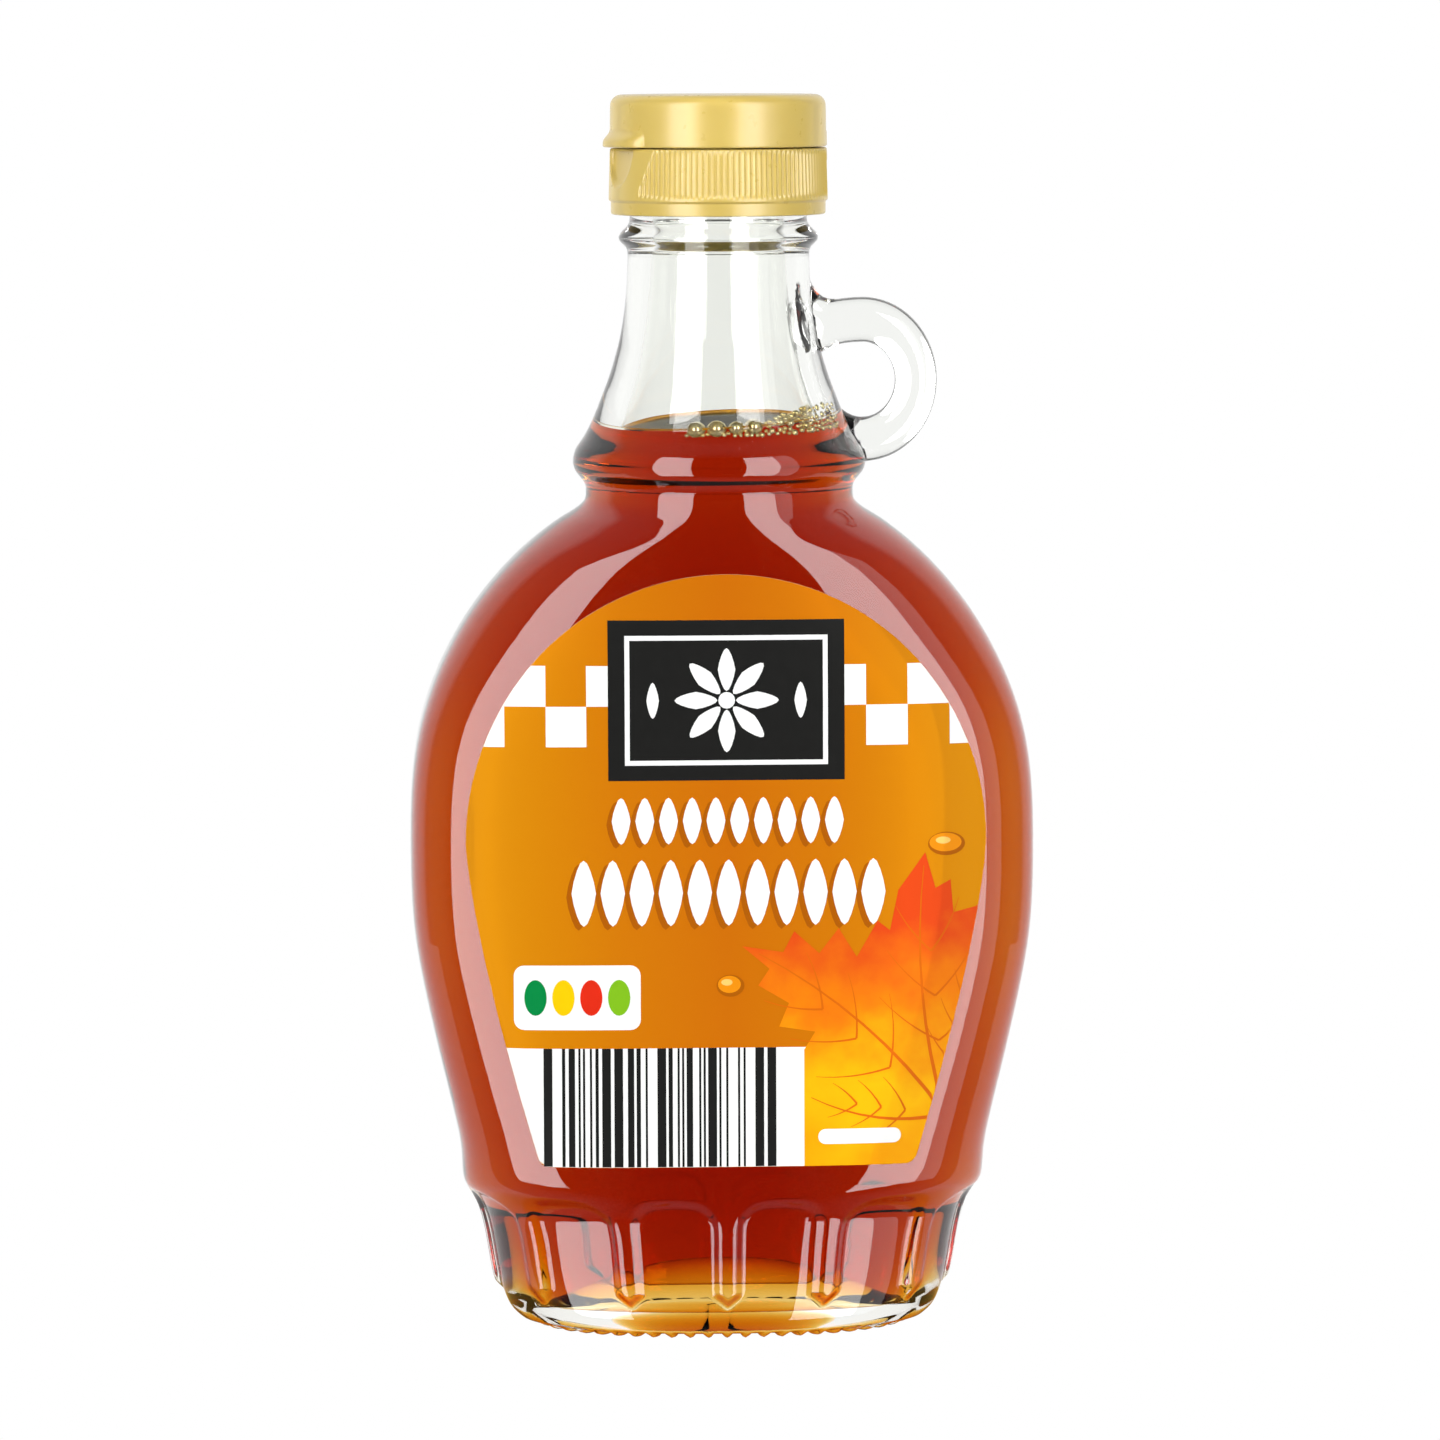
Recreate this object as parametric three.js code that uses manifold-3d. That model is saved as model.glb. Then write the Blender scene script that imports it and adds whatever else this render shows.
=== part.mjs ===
// Syrup bottle: an oval glass flask with a ring handle on its neck, filled with syrup,
// with paper labels on its front and back and a flip-top screw cap.
// Millimetres, +Z up. The origin is the middle of the foot, the front label faces -Y and
// the handle points to +X.

import * as THREE from 'three';
import { mergeVertices } from 'three/addons/utils/BufferGeometryUtils.js';
import Module from 'manifold-3d';

const wasm = await Module();
wasm.setup();

const deg = THREE.MathUtils.degToRad;
const TURN = 2 * Math.PI;

// Outside of the glass: height, half-width, half-depth, squareness (2 is a true ellipse)
const OUTSIDE = [
  [0.0, 28.2, 17.4, 2.3],
  [0.9, 30.4, 18.6, 2.3],
  [3.0, 32.4, 19.4, 2.3],
  [17.5, 35.9, 20.3, 2.35],
  [20.4, 37.4, 20.7, 2.7],
  [22.0, 38.1, 20.9, 3.1],
  [26.4, 38.3, 21.0, 3.6],
  [38.3, 40.9, 21.0, 4.0],
  [50.2, 43.5, 21.1, 4.3],
  [59.0, 45.05, 21.1, 4.45],
  [67.0, 45.4, 21.1, 4.5],
  [76.0, 45.4, 21.1, 4.5],
  [85.6, 44.65, 21.05, 4.4],
  [91.5, 43.2, 21.0, 4.2],
  [97.4, 41.0, 20.9, 3.6],
  [103.3, 37.8, 20.7, 3.1],
  [109.1, 33.5, 20.5, 2.9],
  [114.0, 28.8, 20.2, 2.6],
  [118.2, 23.5, 19.7, 2.1],
  [120.0, 20.6, 19.5, 2.0],
  [121.2, 19.5, 19.4, 2.0],
  [123.0, 19.45, 19.45, 2.0],
  [124.0, 20.0, 20.0, 2.0],
  [125.4, 21.1, 21.1, 2.0],
  [126.6, 21.35, 21.35, 2.0],
  [128.1, 21.05, 21.05, 2.0],
  [130.3, 19.65, 19.65, 2.0],
  [132.3, 18.6, 18.6, 2.0],
  [135.7, 17.2, 17.2, 2.0],
  [140.4, 15.5, 15.5, 2.0],
  [146.0, 14.1, 14.1, 2.0],
  [151.0, 13.45, 13.45, 2.0],
  [156.6, 13.2, 13.2, 2.0],
  [157.6, 13.3, 13.3, 2.0],
  [158.3, 14.2, 14.2, 2.0],
  [159.0, 14.6, 14.6, 2.0],
  [159.8, 14.2, 14.2, 2.0],
  [161.1, 12.95, 12.95, 2.0],
  [162.4, 12.85, 12.85, 2.0],
  [170.2, 12.5, 12.5, 2.0],
];

// Inside of the glass, in the same columns
const INSIDE = [
  [4.6, 22.4, 12.0, 2.3],
  [5.1, 25.0, 13.8, 2.3],
  [7.2, 27.0, 15.4, 2.3],
  [11.5, 29.2, 16.6, 2.3],
  [18.0, 31.4, 17.4, 2.35],
  [26.0, 33.6, 18.3, 2.45],
  [38.0, 36.4, 18.6, 2.5],
  [50.0, 38.6, 18.7, 2.5],
  [60.0, 39.9, 18.7, 2.5],
  [70.0, 40.3, 18.7, 2.5],
  [80.0, 39.9, 18.7, 2.5],
  [88.0, 38.8, 18.6, 2.5],
  [95.0, 36.9, 18.4, 2.5],
  [101.0, 34.2, 18.1, 2.45],
  [107.0, 30.0, 17.7, 2.35],
  [112.0, 25.8, 17.0, 2.25],
  [116.0, 21.4, 16.2, 2.1],
  [119.0, 17.6, 15.6, 2.0],
  [121.5, 15.4, 15.2, 2.0],
  [126.0, 15.8, 15.8, 2.0],
  [129.0, 14.9, 14.9, 2.0],
  [133.0, 13.6, 13.6, 2.0],
  [140.0, 11.6, 11.6, 2.0],
  [150.0, 10.2, 10.2, 2.0],
  [158.0, 9.7, 9.7, 2.0],
  [171.0, 9.6, 9.6, 2.0],
];

// Foot: arched panels sunk between upright ribs, and a push-up under the base
const PANEL_COUNT = 12;
const PANEL_DEPTH = 0.9;
const PANEL_TOP = 21.2;
const PANEL_CORNER = 4.0;
const PANEL_CROWN = 0.025;
const PANEL_BEVEL = 1.65;
const RIB_HALF = 0.8;
const RIB_END = 4.4;
const RIB_END_LENGTH = 1.8;
const PUSH_UP = { halfWidth: 22.5, halfDepth: 12.0, height: 1.6, crown: 0.7 };

// Rise of the cavity's floor towards its middle: share of the floor's width, height
const FLOOR_RISE = [
  [0.2, 10.0],
  [0.5, 8.4],
  [0.8, 5.6],
];

// Heights at which the glass is cut into rings
const FOOT_HEIGHTS = [0, 0.35, 0.9, 1.8, 3.0, RIB_END, RIB_END + RIB_END_LENGTH, 12, 17, 18.4,
  19.4, 20.3, PANEL_TOP];
const BODY_HEIGHTS = [22, 24.5, 26.6, 38.3, 50.2, 55, 59, 63, 67, 76, 81, 85.6, 91.5, 97.4,
  100.4, 103.3, 106.2, 109.1, 111.6, 114, 116.2, 118.2, 119.4];
const NECK_HEIGHTS = [120, 121.2, 123, 124, 125.4, 126.6, 128.1, 130.3, 135.7, 140.4, 148,
  156.6, 157.6, 158.3, 159, 159.8, 161.1, 162.4, 170.2];
const CAVITY_HEIGHTS = [4.9, 7.2, 11.5, 18, 26, 44, 60, 76, 88, 95, 101, 107, 112, 116, 119,
  121.5, 126, 129];
const BORE_HEIGHTS = [133, 136, 140, 171];

// Handle: a round bar bent into a ring beside the neck, with a web in its upper corner
const HANDLE = { x: 20.9, z: 138.3, ringRadius: 8.35, barRadius: 2.9, from: 152, to: -158 };
const WEB = {
  top: 154.6,
  foot: 146.5,
  buried: 11,
  neckRadius: 13,
  reach: 17.2,
  halfThickness: 1.9,
};

// Syrup: it stops short of the wall by the fitting gap and is filled to this height
const SYRUP_LEVEL = 131.2;
const GAP = 0.3;

// Labels: the front one has an arched top and tapering sides, the back one is smaller
const LABEL_THICKNESS = 0.2;
const FRONT_LABEL = { bottom: 26.0, widest: 72.9, top: 111.6, halfWidth: 37.45 };
const FRONT_TAPER = { factor: 0.0603, power: 1.34 };
const BACK_LABEL = { bottom: 34.0, top: 90.0, halfWidth: 17.5, corner: 3.0 };

// Cap: a ribbed screw body with a pouring spout and a hinged lid with a thumb tab
const CAP = {
  bottom: 162.4,
  bandTop: 164.2,
  seam: 172.0,
  top: 179.7,
  bandRadius: 15.55,
  skirtRadius: 15.9,
  seamRadius: 15.6,
  boreRadius: 13.3,
  deckThickness: 1.3,
};
const RIB_COUNT = 120;
const RIB_DEPTH = 0.22;
const PLAIN_NOTCH_HALF = 32;
const PLAIN_HINGE_HALF = 16;
const CAP_TURN = 20;
const NOTCH = { offset: 0.5, depth: 1.9, halfWidth: 6.0, drop: 7.0 };
const SPOUT = { rootRadius: 4.7, tipRadius: 4.1, height: 3.2, boreRadius: 3.1 };
const LID = { radius: 15.65, edge: 1.6, wall: 1.3, roof: 1.4 };
const SEAL = { innerRadius: 4.6, outerRadius: 5.4, overlap: 1.2 };
const TAB = { halfAngle: 24, reach: 1.25, thickness: 0.7, height: 2.3 };
const HINGE = { halfAngle: 16, reach: 0.65, height: 3.1 };

// Materials
const GLASS = { color: 0xe6ebe2, roughness: 0.03, metalness: 0, transparent: true, opacity: 0.35 };
const SYRUP = { color: 0x8c1e04, roughness: 0.05, metalness: 0 };
const PAPER = { color: 0xe68a08, roughness: 0.45, metalness: 0 };
const CAP_PLASTIC = { color: 0xe3c46c, roughness: 0.3, metalness: 0 };

// Monotone smooth curve through the rows of a table, from its first column to another
function smoothColumn(table, column) {
  const x = table.map((row) => row[0]);
  const y = table.map((row) => row[column]);
  const width = x.slice(1).map((value, i) => value - x[i]);
  const slope = width.map((w, i) => (y[i + 1] - y[i]) / w);
  const tangent = x.map((_, i) => {
    if (i === 0) return slope[0];
    if (i === x.length - 1) return slope[i - 1];
    if (slope[i - 1] * slope[i] <= 0) return 0;
    const before = 2 * width[i] + width[i - 1];
    const after = width[i] + 2 * width[i - 1];
    return (before + after) / (before / slope[i - 1] + after / slope[i]);
  });
  return (at) => {
    const t = Math.min(Math.max(at, x[0]), x[x.length - 1]);
    let i = 0;
    while (i < width.length - 1 && t > x[i + 1]) i += 1;
    const s = (t - x[i]) / width[i];
    const rise = s * s * (3 - 2 * s);
    return y[i] * (1 - rise) + y[i + 1] * rise
      + width[i] * s * (1 - s) * (tangent[i] * (1 - s) - tangent[i + 1] * s);
  };
}

function section(table) {
  const [halfWidth, halfDepth, power] = [1, 2, 3].map((column) => smoothColumn(table, column));
  return (z) => ({ a: halfWidth(z), b: halfDepth(z), n: power(z) });
}

const outside = section(OUTSIDE);
const inside = section(INSIDE);

// Point on an oval of half-width a and half-depth b at angle t
function ovalPoint(a, b, n, t) {
  const [c, s] = [Math.cos(t), Math.sin(t)];
  const reach = (Math.abs(c) ** n + Math.abs(s) ** n) ** (-1 / n);
  return [a * c * reach, b * s * reach];
}

// A ring is a list of { t, x, y, z } round the axis, with t rising from 0 to a full turn
function evenAngles(count) {
  return Array.from({ length: count }, (_, i) => (i * TURN) / count);
}

function ovalRing({ a, b, n }, z, angles, inset = 0) {
  return angles.map((t) => {
    const [x, y] = ovalPoint(a - inset, b - inset, n, t);
    return { t, x, y, z };
  });
}

function roundRing(radius, z, angles) {
  return ovalRing({ a: radius, b: radius, n: 2 }, z, angles);
}

// Closed solid through a stack of rings, which may have different numbers of points
function loft(rings) {
  const vertices = [];
  const faces = [];
  const starts = rings.map((ring) => {
    const start = vertices.length / 3;
    ring.forEach((p) => vertices.push(p.x, p.y, p.z));
    return start;
  });
  for (let k = 0; k < rings.length - 1; k += 1) {
    const [low, high] = [rings[k], rings[k + 1]];
    let [i, j] = [0, 0];
    while (i < low.length || j < high.length) {
      const nextLow = i < low.length ? (low[i + 1]?.t ?? TURN) : Infinity;
      const nextHigh = j < high.length ? (high[j + 1]?.t ?? TURN) : Infinity;
      const here = starts[k] + (i % low.length);
      const above = starts[k + 1] + (j % high.length);
      if (nextLow <= nextHigh) {
        faces.push(here, starts[k] + ((i + 1) % low.length), above);
        i += 1;
      } else {
        faces.push(here, starts[k + 1] + ((j + 1) % high.length), above);
        j += 1;
      }
    }
  }
  const fan = (ring, start, up) => {
    const middle = vertices.length / 3;
    const mean = (key) => ring.reduce((sum, p) => sum + p[key], 0) / ring.length;
    vertices.push(mean('x'), mean('y'), mean('z'));
    ring.forEach((_, i) => {
      const [p, q] = [start + i, start + ((i + 1) % ring.length)];
      faces.push(...(up ? [p, q, middle] : [q, p, middle]));
    });
  };
  fan(rings[0], starts[0], false);
  fan(rings.at(-1), starts.at(-1), true);
  const geometry = new THREE.BufferGeometry();
  geometry.setAttribute('position', new THREE.Float32BufferAttribute(vertices, 3));
  geometry.setIndex(faces);
  return geometry;
}

function toSolid(geometry) {
  const bare = geometry.clone();
  bare.deleteAttribute('normal');
  bare.deleteAttribute('uv');
  const merged = mergeVertices(bare, 1e-4);
  return new wasm.Manifold(new wasm.Mesh({
    numProp: 3,
    vertProperties: new Float32Array(merged.attributes.position.array),
    triVerts: new Uint32Array(merged.index.array),
  }));
}

function toGeometry(solid) {
  const mesh = solid.getMesh();
  const geometry = new THREE.BufferGeometry();
  geometry.setAttribute('position', new THREE.BufferAttribute(mesh.vertProperties, 3));
  geometry.setIndex(new THREE.BufferAttribute(mesh.triVerts, 1));
  geometry.computeVertexNormals();
  return geometry;
}

// Distances along the foot's outline, so that the panels are equally wide all round
function footMeasure() {
  const { a, b, n } = outside(11);
  const steps = 720;
  const distance = [0];
  for (let i = 1; i <= steps; i += 1) {
    const p = ovalPoint(a, b, n, ((i - 1) * TURN) / steps);
    const q = ovalPoint(a, b, n, (i * TURN) / steps);
    distance.push(distance[i - 1] + Math.hypot(q[0] - p[0], q[1] - p[1]));
  }
  const total = distance[steps];
  const angleAt = (s) => {
    let i = 0;
    while (i < steps - 1 && distance[i + 1] < s) i += 1;
    return ((i + (s - distance[i]) / (distance[i + 1] - distance[i])) * TURN) / steps;
  };
  return { pitch: total / PANEL_COUNT, angleAt };
}

const foot = footMeasure();

// How far the foot is sunk at height z, at distance u from the middle of a panel
function panelSink(u, z) {
  const half = foot.pitch / 2 - RIB_HALF;
  const dx = u - (half - PANEL_CORNER);
  const dz = z + PANEL_CROWN * u * u - (PANEL_TOP - PANEL_CORNER);
  const rounded = Math.hypot(Math.max(dx, 0), Math.max(dz, 0));
  const inward = PANEL_CORNER - (rounded || Math.max(dx, dz));
  const panel = Math.min(Math.max(inward / PANEL_BEVEL, 0), 1);
  const belowRibs = Math.min(Math.max((RIB_END + RIB_END_LENGTH - z) / RIB_END_LENGTH, 0), 1);
  return PANEL_DEPTH * Math.max(panel, belowRibs);
}

function footRing(z) {
  const size = outside(z);
  const steps = [RIB_HALF, RIB_HALF + PANEL_BEVEL, RIB_HALF + PANEL_CORNER, 0.5 * foot.pitch];
  const places = [...steps, ...steps.slice(0, 3).reverse().map((s) => foot.pitch - s)];
  const ring = [];
  for (let k = 0; k < PANEL_COUNT; k += 1) {
    places.forEach((place) => {
      const t = foot.angleAt(k * foot.pitch + place);
      const sink = panelSink(Math.abs(place - foot.pitch / 2), z);
      const [x, y] = ovalPoint(size.a - sink, size.b - sink, size.n, t);
      ring.push({ t, x, y, z });
    });
  }
  return ring;
}

function glassOutside() {
  const bodyAngles = evenAngles(42);
  const neckAngles = evenAngles(32);
  return loft([
    ...FOOT_HEIGHTS.map(footRing),
    ...BODY_HEIGHTS.map((z) => ovalRing(outside(z), z, bodyAngles)),
    ...NECK_HEIGHTS.map((z) => ovalRing(outside(z), z, neckAngles)),
  ]);
}

function cavity(heights, inset) {
  const angles = evenAngles(36);
  const floor = inside(heights[0]);
  const rise = FLOOR_RISE.map(([share, z]) => (
    ovalRing({ a: floor.a * share, b: floor.b * share, n: floor.n }, z + inset, angles)
  ));
  const walls = heights.map((z, i) => ovalRing(inside(z), i ? z : z + inset, angles, inset));
  return loft([...rise, ...walls]);
}

// Shallow hollow under the base, started below it so that the cut is clean
function pushUp() {
  const { halfWidth, halfDepth, height, crown } = PUSH_UP;
  const angles = evenAngles(32);
  const size = (share) => ({ a: halfWidth * share, b: halfDepth * share, n: outside(0).n });
  return loft([
    ovalRing(size(1), -height, angles),
    ovalRing(size(1), 0.3 * height, angles),
    ovalRing(size(crown), height, angles),
  ]);
}

// Round bar along an arc of the ring, its ends buried in the neck's wall
function handleBar() {
  const { x, z, ringRadius, barRadius, from, to } = HANDLE;
  const steps = 20;
  const sides = 10;
  const rings = Array.from({ length: steps + 1 }, (_, k) => {
    const angle = deg(from + ((to - from) * k) / steps);
    return evenAngles(sides).map((t) => {
      const radius = ringRadius + barRadius * Math.cos(t);
      return {
        t,
        x: x + radius * Math.cos(angle),
        y: -barRadius * Math.sin(t),
        z: z + radius * Math.sin(angle),
      };
    });
  });
  return loft(rings);
}

// Web with a hollow upper edge where the handle leaves the neck
function handleWeb() {
  const { top, foot: low, buried, neckRadius, reach, halfThickness } = WEB;
  const outline = new THREE.Shape();
  outline.moveTo(buried, low);
  outline.lineTo(reach, low);
  outline.lineTo(reach, HANDLE.z + HANDLE.ringRadius + HANDLE.barRadius * 0.8);
  outline.quadraticCurveTo(neckRadius + 1.2, 0.5 * (top + low) + 0.5, neckRadius, top);
  outline.lineTo(buried, top);
  outline.closePath();
  const web = new THREE.ExtrudeGeometry(outline, {
    depth: 2 * halfThickness,
    bevelEnabled: false,
    curveSegments: 5,
  });
  web.rotateX(Math.PI / 2);
  web.translate(0, halfThickness, 0);
  return web;
}

function bottleGlass() {
  const solid = toSolid(glassOutside())
    .add(toSolid(handleBar()))
    .add(toSolid(handleWeb()))
    .subtract(toSolid(cavity([...CAVITY_HEIGHTS, ...BORE_HEIGHTS], 0)))
    .subtract(toSolid(pushUp()));
  return toGeometry(solid);
}

function syrup() {
  const geometry = cavity([...CAVITY_HEIGHTS, SYRUP_LEVEL], GAP);
  return toGeometry(toSolid(geometry));
}

// Closed thin sheet: at(layer, row, column) gives a point, and layer 1 is the outer face
function sheet(rows, columns, at, reversed = false) {
  const vertices = [];
  const faces = [];
  const index = (layer, row, column) => (layer * (rows + 1) + row) * (columns + 1) + column;
  const quad = (p, q, r, s) => {
    faces.push(...(reversed ? [p, r, q, p, s, r] : [p, q, r, p, r, s]));
  };
  for (let layer = 0; layer <= 1; layer += 1) {
    for (let row = 0; row <= rows; row += 1) {
      for (let column = 0; column <= columns; column += 1) {
        vertices.push(...at(layer, row, column));
      }
    }
  }
  for (let row = 0; row < rows; row += 1) {
    for (let column = 0; column < columns; column += 1) {
      const corner = (layer, up, along) => index(layer, row + up, column + along);
      quad(corner(1, 0, 0), corner(1, 0, 1), corner(1, 1, 1), corner(1, 1, 0));
      quad(corner(0, 0, 0), corner(0, 1, 0), corner(0, 1, 1), corner(0, 0, 1));
    }
    quad(index(0, row, 0), index(1, row, 0), index(1, row + 1, 0), index(0, row + 1, 0));
    quad(index(1, row, columns), index(0, row, columns), index(0, row + 1, columns),
      index(1, row + 1, columns));
  }
  for (let column = 0; column < columns; column += 1) {
    quad(index(0, 0, column), index(0, 0, column + 1), index(1, 0, column + 1),
      index(1, 0, column));
    quad(index(1, rows, column), index(1, rows, column + 1), index(0, rows, column + 1),
      index(0, rows, column));
  }
  const geometry = new THREE.BufferGeometry();
  geometry.setAttribute('position', new THREE.Float32BufferAttribute(vertices, 3));
  geometry.setIndex(faces);
  return toSolid(geometry);
}

// Label on the body's front (side -1) or back (side 1)
function labelSheet(heights, halfWidthAt, side) {
  const columns = 13;
  const at = (layer, row, column) => {
    const z = heights[row];
    const { a, b, n } = outside(z);
    const lift = GAP + layer * LABEL_THICKNESS;
    const x = halfWidthAt(z) * ((2 * column) / columns - 1);
    const depth = (b + lift) * (1 - Math.abs(x / (a + lift)) ** n) ** (1 / n);
    return [x, side * depth, z];
  };
  return toGeometry(sheet(heights.length - 1, columns, at, side > 0));
}

function frontLabel() {
  const { bottom, widest, top, halfWidth } = FRONT_LABEL;
  const halfWidthAt = (z) => {
    if (z > widest) return halfWidth * Math.sqrt(1 - ((z - widest) / (top - widest)) ** 2);
    return halfWidth - FRONT_TAPER.factor * (widest - z) ** FRONT_TAPER.power;
  };
  const archRows = [0.2, 0.4, 0.58, 0.72, 0.84, 0.93, 0.98, 0.998];
  const rows = [bottom, 38.3, 50.2, 59, 67, widest, ...archRows.map((s) => widest + s * (top - widest))];
  return labelSheet(rows, halfWidthAt, -1);
}

function backLabel() {
  const { bottom, top, halfWidth, corner } = BACK_LABEL;
  const halfWidthAt = (z) => {
    const past = corner - Math.min(z - bottom, top - z, corner);
    return halfWidth - corner + Math.sqrt(corner ** 2 - past ** 2);
  };
  const cornerRows = [0, 0.12, 0.4, 1].map((share) => share * corner);
  const rows = [
    ...cornerRows.map((d) => bottom + d),
    38.3, 50.2, 59, 67, 76, 85.6,
    ...cornerRows.toReversed().map((d) => top - d),
  ];
  return labelSheet(rows, halfWidthAt, 1);
}

// Angle from the tab's direction or the hinge's, in degrees, in the cap's own frame
const fromTab = (t) => Math.abs(180 - THREE.MathUtils.radToDeg(t));
const fromHinge = (t) => 180 - fromTab(t);

function ribbedRing(z, radius) {
  return evenAngles(2 * RIB_COUNT).map((t, i) => {
    const plain = fromTab(t) < PLAIN_NOTCH_HALF || fromHinge(t) < PLAIN_HINGE_HALF;
    const valley = !plain && i % 2 === 1;
    const r = radius - (valley ? RIB_DEPTH : 0);
    return { t, x: r * Math.cos(t), y: r * Math.sin(t), z };
  });
}

// Swelling on the cap's round wall, its levels given as pairs of a height and a reach
function wallPatch(direction, halfAngle, wallRadius, levels) {
  const columns = 12;
  const buried = 0.6;
  const at = (layer, row, column) => {
    const share = (2 * column) / columns - 1;
    const angle = deg(direction + halfAngle * share);
    const [z, reach] = levels[row];
    const bulge = layer ? (reach + buried) * (1 - share ** 4) : -0.5 * buried;
    const radius = wallRadius - buried + bulge;
    return [radius * Math.cos(angle), radius * Math.sin(angle), z];
  };
  return sheet(levels.length - 1, columns, at);
}

function capBody() {
  const { bottom, bandTop, seam, bandRadius, skirtRadius, seamRadius, boreRadius } = CAP;
  const round = evenAngles(48);
  const deckUnderside = seam - CAP.deckThickness;
  const shell = toSolid(loft([
    roundRing(bandRadius, bottom, round),
    roundRing(bandRadius, bandTop, round),
    ribbedRing(bandTop + 0.4, skirtRadius),
    ribbedRing(seam - 0.3, seamRadius + 0.1),
    roundRing(seamRadius - 0.3, seam, round),
  ]));
  const bore = toSolid(loft([
    roundRing(boreRadius, bottom - 1, round),
    roundRing(boreRadius, deckUnderside, round),
  ]));
  const spout = toSolid(loft([
    roundRing(SPOUT.rootRadius, seam - 0.5, evenAngles(24)),
    roundRing(SPOUT.tipRadius, seam + SPOUT.height, evenAngles(24)),
  ]));
  const pouringHole = toSolid(loft([
    roundRing(SPOUT.boreRadius, deckUnderside - 1, evenAngles(20)),
    roundRing(SPOUT.boreRadius, seam + SPOUT.height + 1, evenAngles(20)),
  ]));
  const notch = new THREE.SphereGeometry(1, 16, 12);
  notch.scale(NOTCH.depth, NOTCH.halfWidth, NOTCH.drop);
  notch.translate(-skirtRadius - NOTCH.offset, 0, seam + 1);
  const hinge = wallPatch(0, HINGE.halfAngle, seamRadius, [
    [seam - HINGE.height, 0.1],
    [seam, HINGE.reach],
  ]);
  return shell
    .add(hinge)
    .subtract(bore)
    .add(spout)
    .subtract(pouringHole)
    .subtract(toSolid(notch));
}

function capLid() {
  const { radius, edge, wall, roof } = LID;
  const round = evenAngles(48);
  const low = CAP.seam + GAP;
  const roundedEdge = [0, 22.5, 45, 67.5, 90].map((a) => roundRing(
    radius - edge * (1 - Math.cos(deg(a))),
    CAP.top - edge * (1 - Math.sin(deg(a))),
    round,
  ));
  const underRoof = CAP.top - roof;
  const hollow = toSolid(loft([
    roundRing(radius - wall, low - 1, evenAngles(36)),
    roundRing(radius - wall - 0.3, underRoof, evenAngles(36)),
  ]));
  const sealLow = CAP.seam + SPOUT.height - SEAL.overlap;
  const seal = toSolid(loft([
    roundRing(SEAL.outerRadius, sealLow, evenAngles(24)),
    roundRing(SEAL.outerRadius, underRoof + 0.3, evenAngles(24)),
  ])).subtract(toSolid(loft([
    roundRing(SEAL.innerRadius, sealLow - 1, evenAngles(24)),
    roundRing(SEAL.innerRadius, underRoof, evenAngles(24)),
  ])));
  const tab = wallPatch(180, TAB.halfAngle, radius, [
    [low, TAB.reach],
    [low + TAB.thickness, TAB.reach],
    [low + TAB.height, 0.1],
  ]);
  const hinge = wallPatch(0, HINGE.halfAngle, radius, [
    [low, HINGE.reach],
    [low + HINGE.height, 0.1],
  ]);
  return toSolid(loft([roundRing(radius, low, round), ...roundedEdge]))
    .add(tab)
    .add(hinge)
    .subtract(hollow)
    .add(seal);
}

function part(name, geometry, material) {
  const mesh = new THREE.Mesh(geometry, new THREE.MeshStandardMaterial(material));
  mesh.name = name;
  return mesh;
}

const bottle = new THREE.Group();
bottle.add(part('bottle_glass', bottleGlass(), GLASS));
bottle.add(part('syrup', syrup(), SYRUP));
bottle.add(part('front_label', frontLabel(), PAPER));
bottle.add(part('back_label', backLabel(), PAPER));

const cap = new THREE.Group();
cap.rotation.z = deg(CAP_TURN);
cap.add(part('cap_body', toGeometry(capBody()), CAP_PLASTIC));
cap.add(part('cap_lid', toGeometry(capLid()), CAP_PLASTIC));
bottle.add(cap);

export default bottle;
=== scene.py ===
import math
import random

import bpy
import numpy as np
from mathutils import Euler, Matrix, Vector
from mathutils.geometry import delaunay_2d_cdt


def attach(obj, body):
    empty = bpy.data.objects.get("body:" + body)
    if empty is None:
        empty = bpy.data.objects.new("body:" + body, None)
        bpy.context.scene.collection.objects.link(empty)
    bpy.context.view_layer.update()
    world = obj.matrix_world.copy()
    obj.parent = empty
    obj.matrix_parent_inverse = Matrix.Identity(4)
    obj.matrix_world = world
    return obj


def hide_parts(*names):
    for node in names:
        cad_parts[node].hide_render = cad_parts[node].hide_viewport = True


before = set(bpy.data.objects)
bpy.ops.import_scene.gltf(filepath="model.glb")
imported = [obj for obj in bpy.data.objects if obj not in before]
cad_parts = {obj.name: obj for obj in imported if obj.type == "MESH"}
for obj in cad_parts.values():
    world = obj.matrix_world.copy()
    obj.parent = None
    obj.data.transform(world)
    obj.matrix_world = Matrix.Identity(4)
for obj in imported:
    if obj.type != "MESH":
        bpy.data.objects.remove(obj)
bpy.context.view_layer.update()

random.seed(7)
MM = 0.001
TURN = 2 * math.pi

# Camera: about a metre away, a little above, with the bottle's front turned slightly
PHOTO_SIDE = 1440
FOCAL_PIXELS = 6667
SENSOR = 36
CAMERA_DISTANCE = 0.970
CAMERA_HEIGHT = 0.1894
CAMERA_TILT = 5.935
CAMERA_YAW = 2.6
CAMERA_ROLL = 0.2

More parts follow.
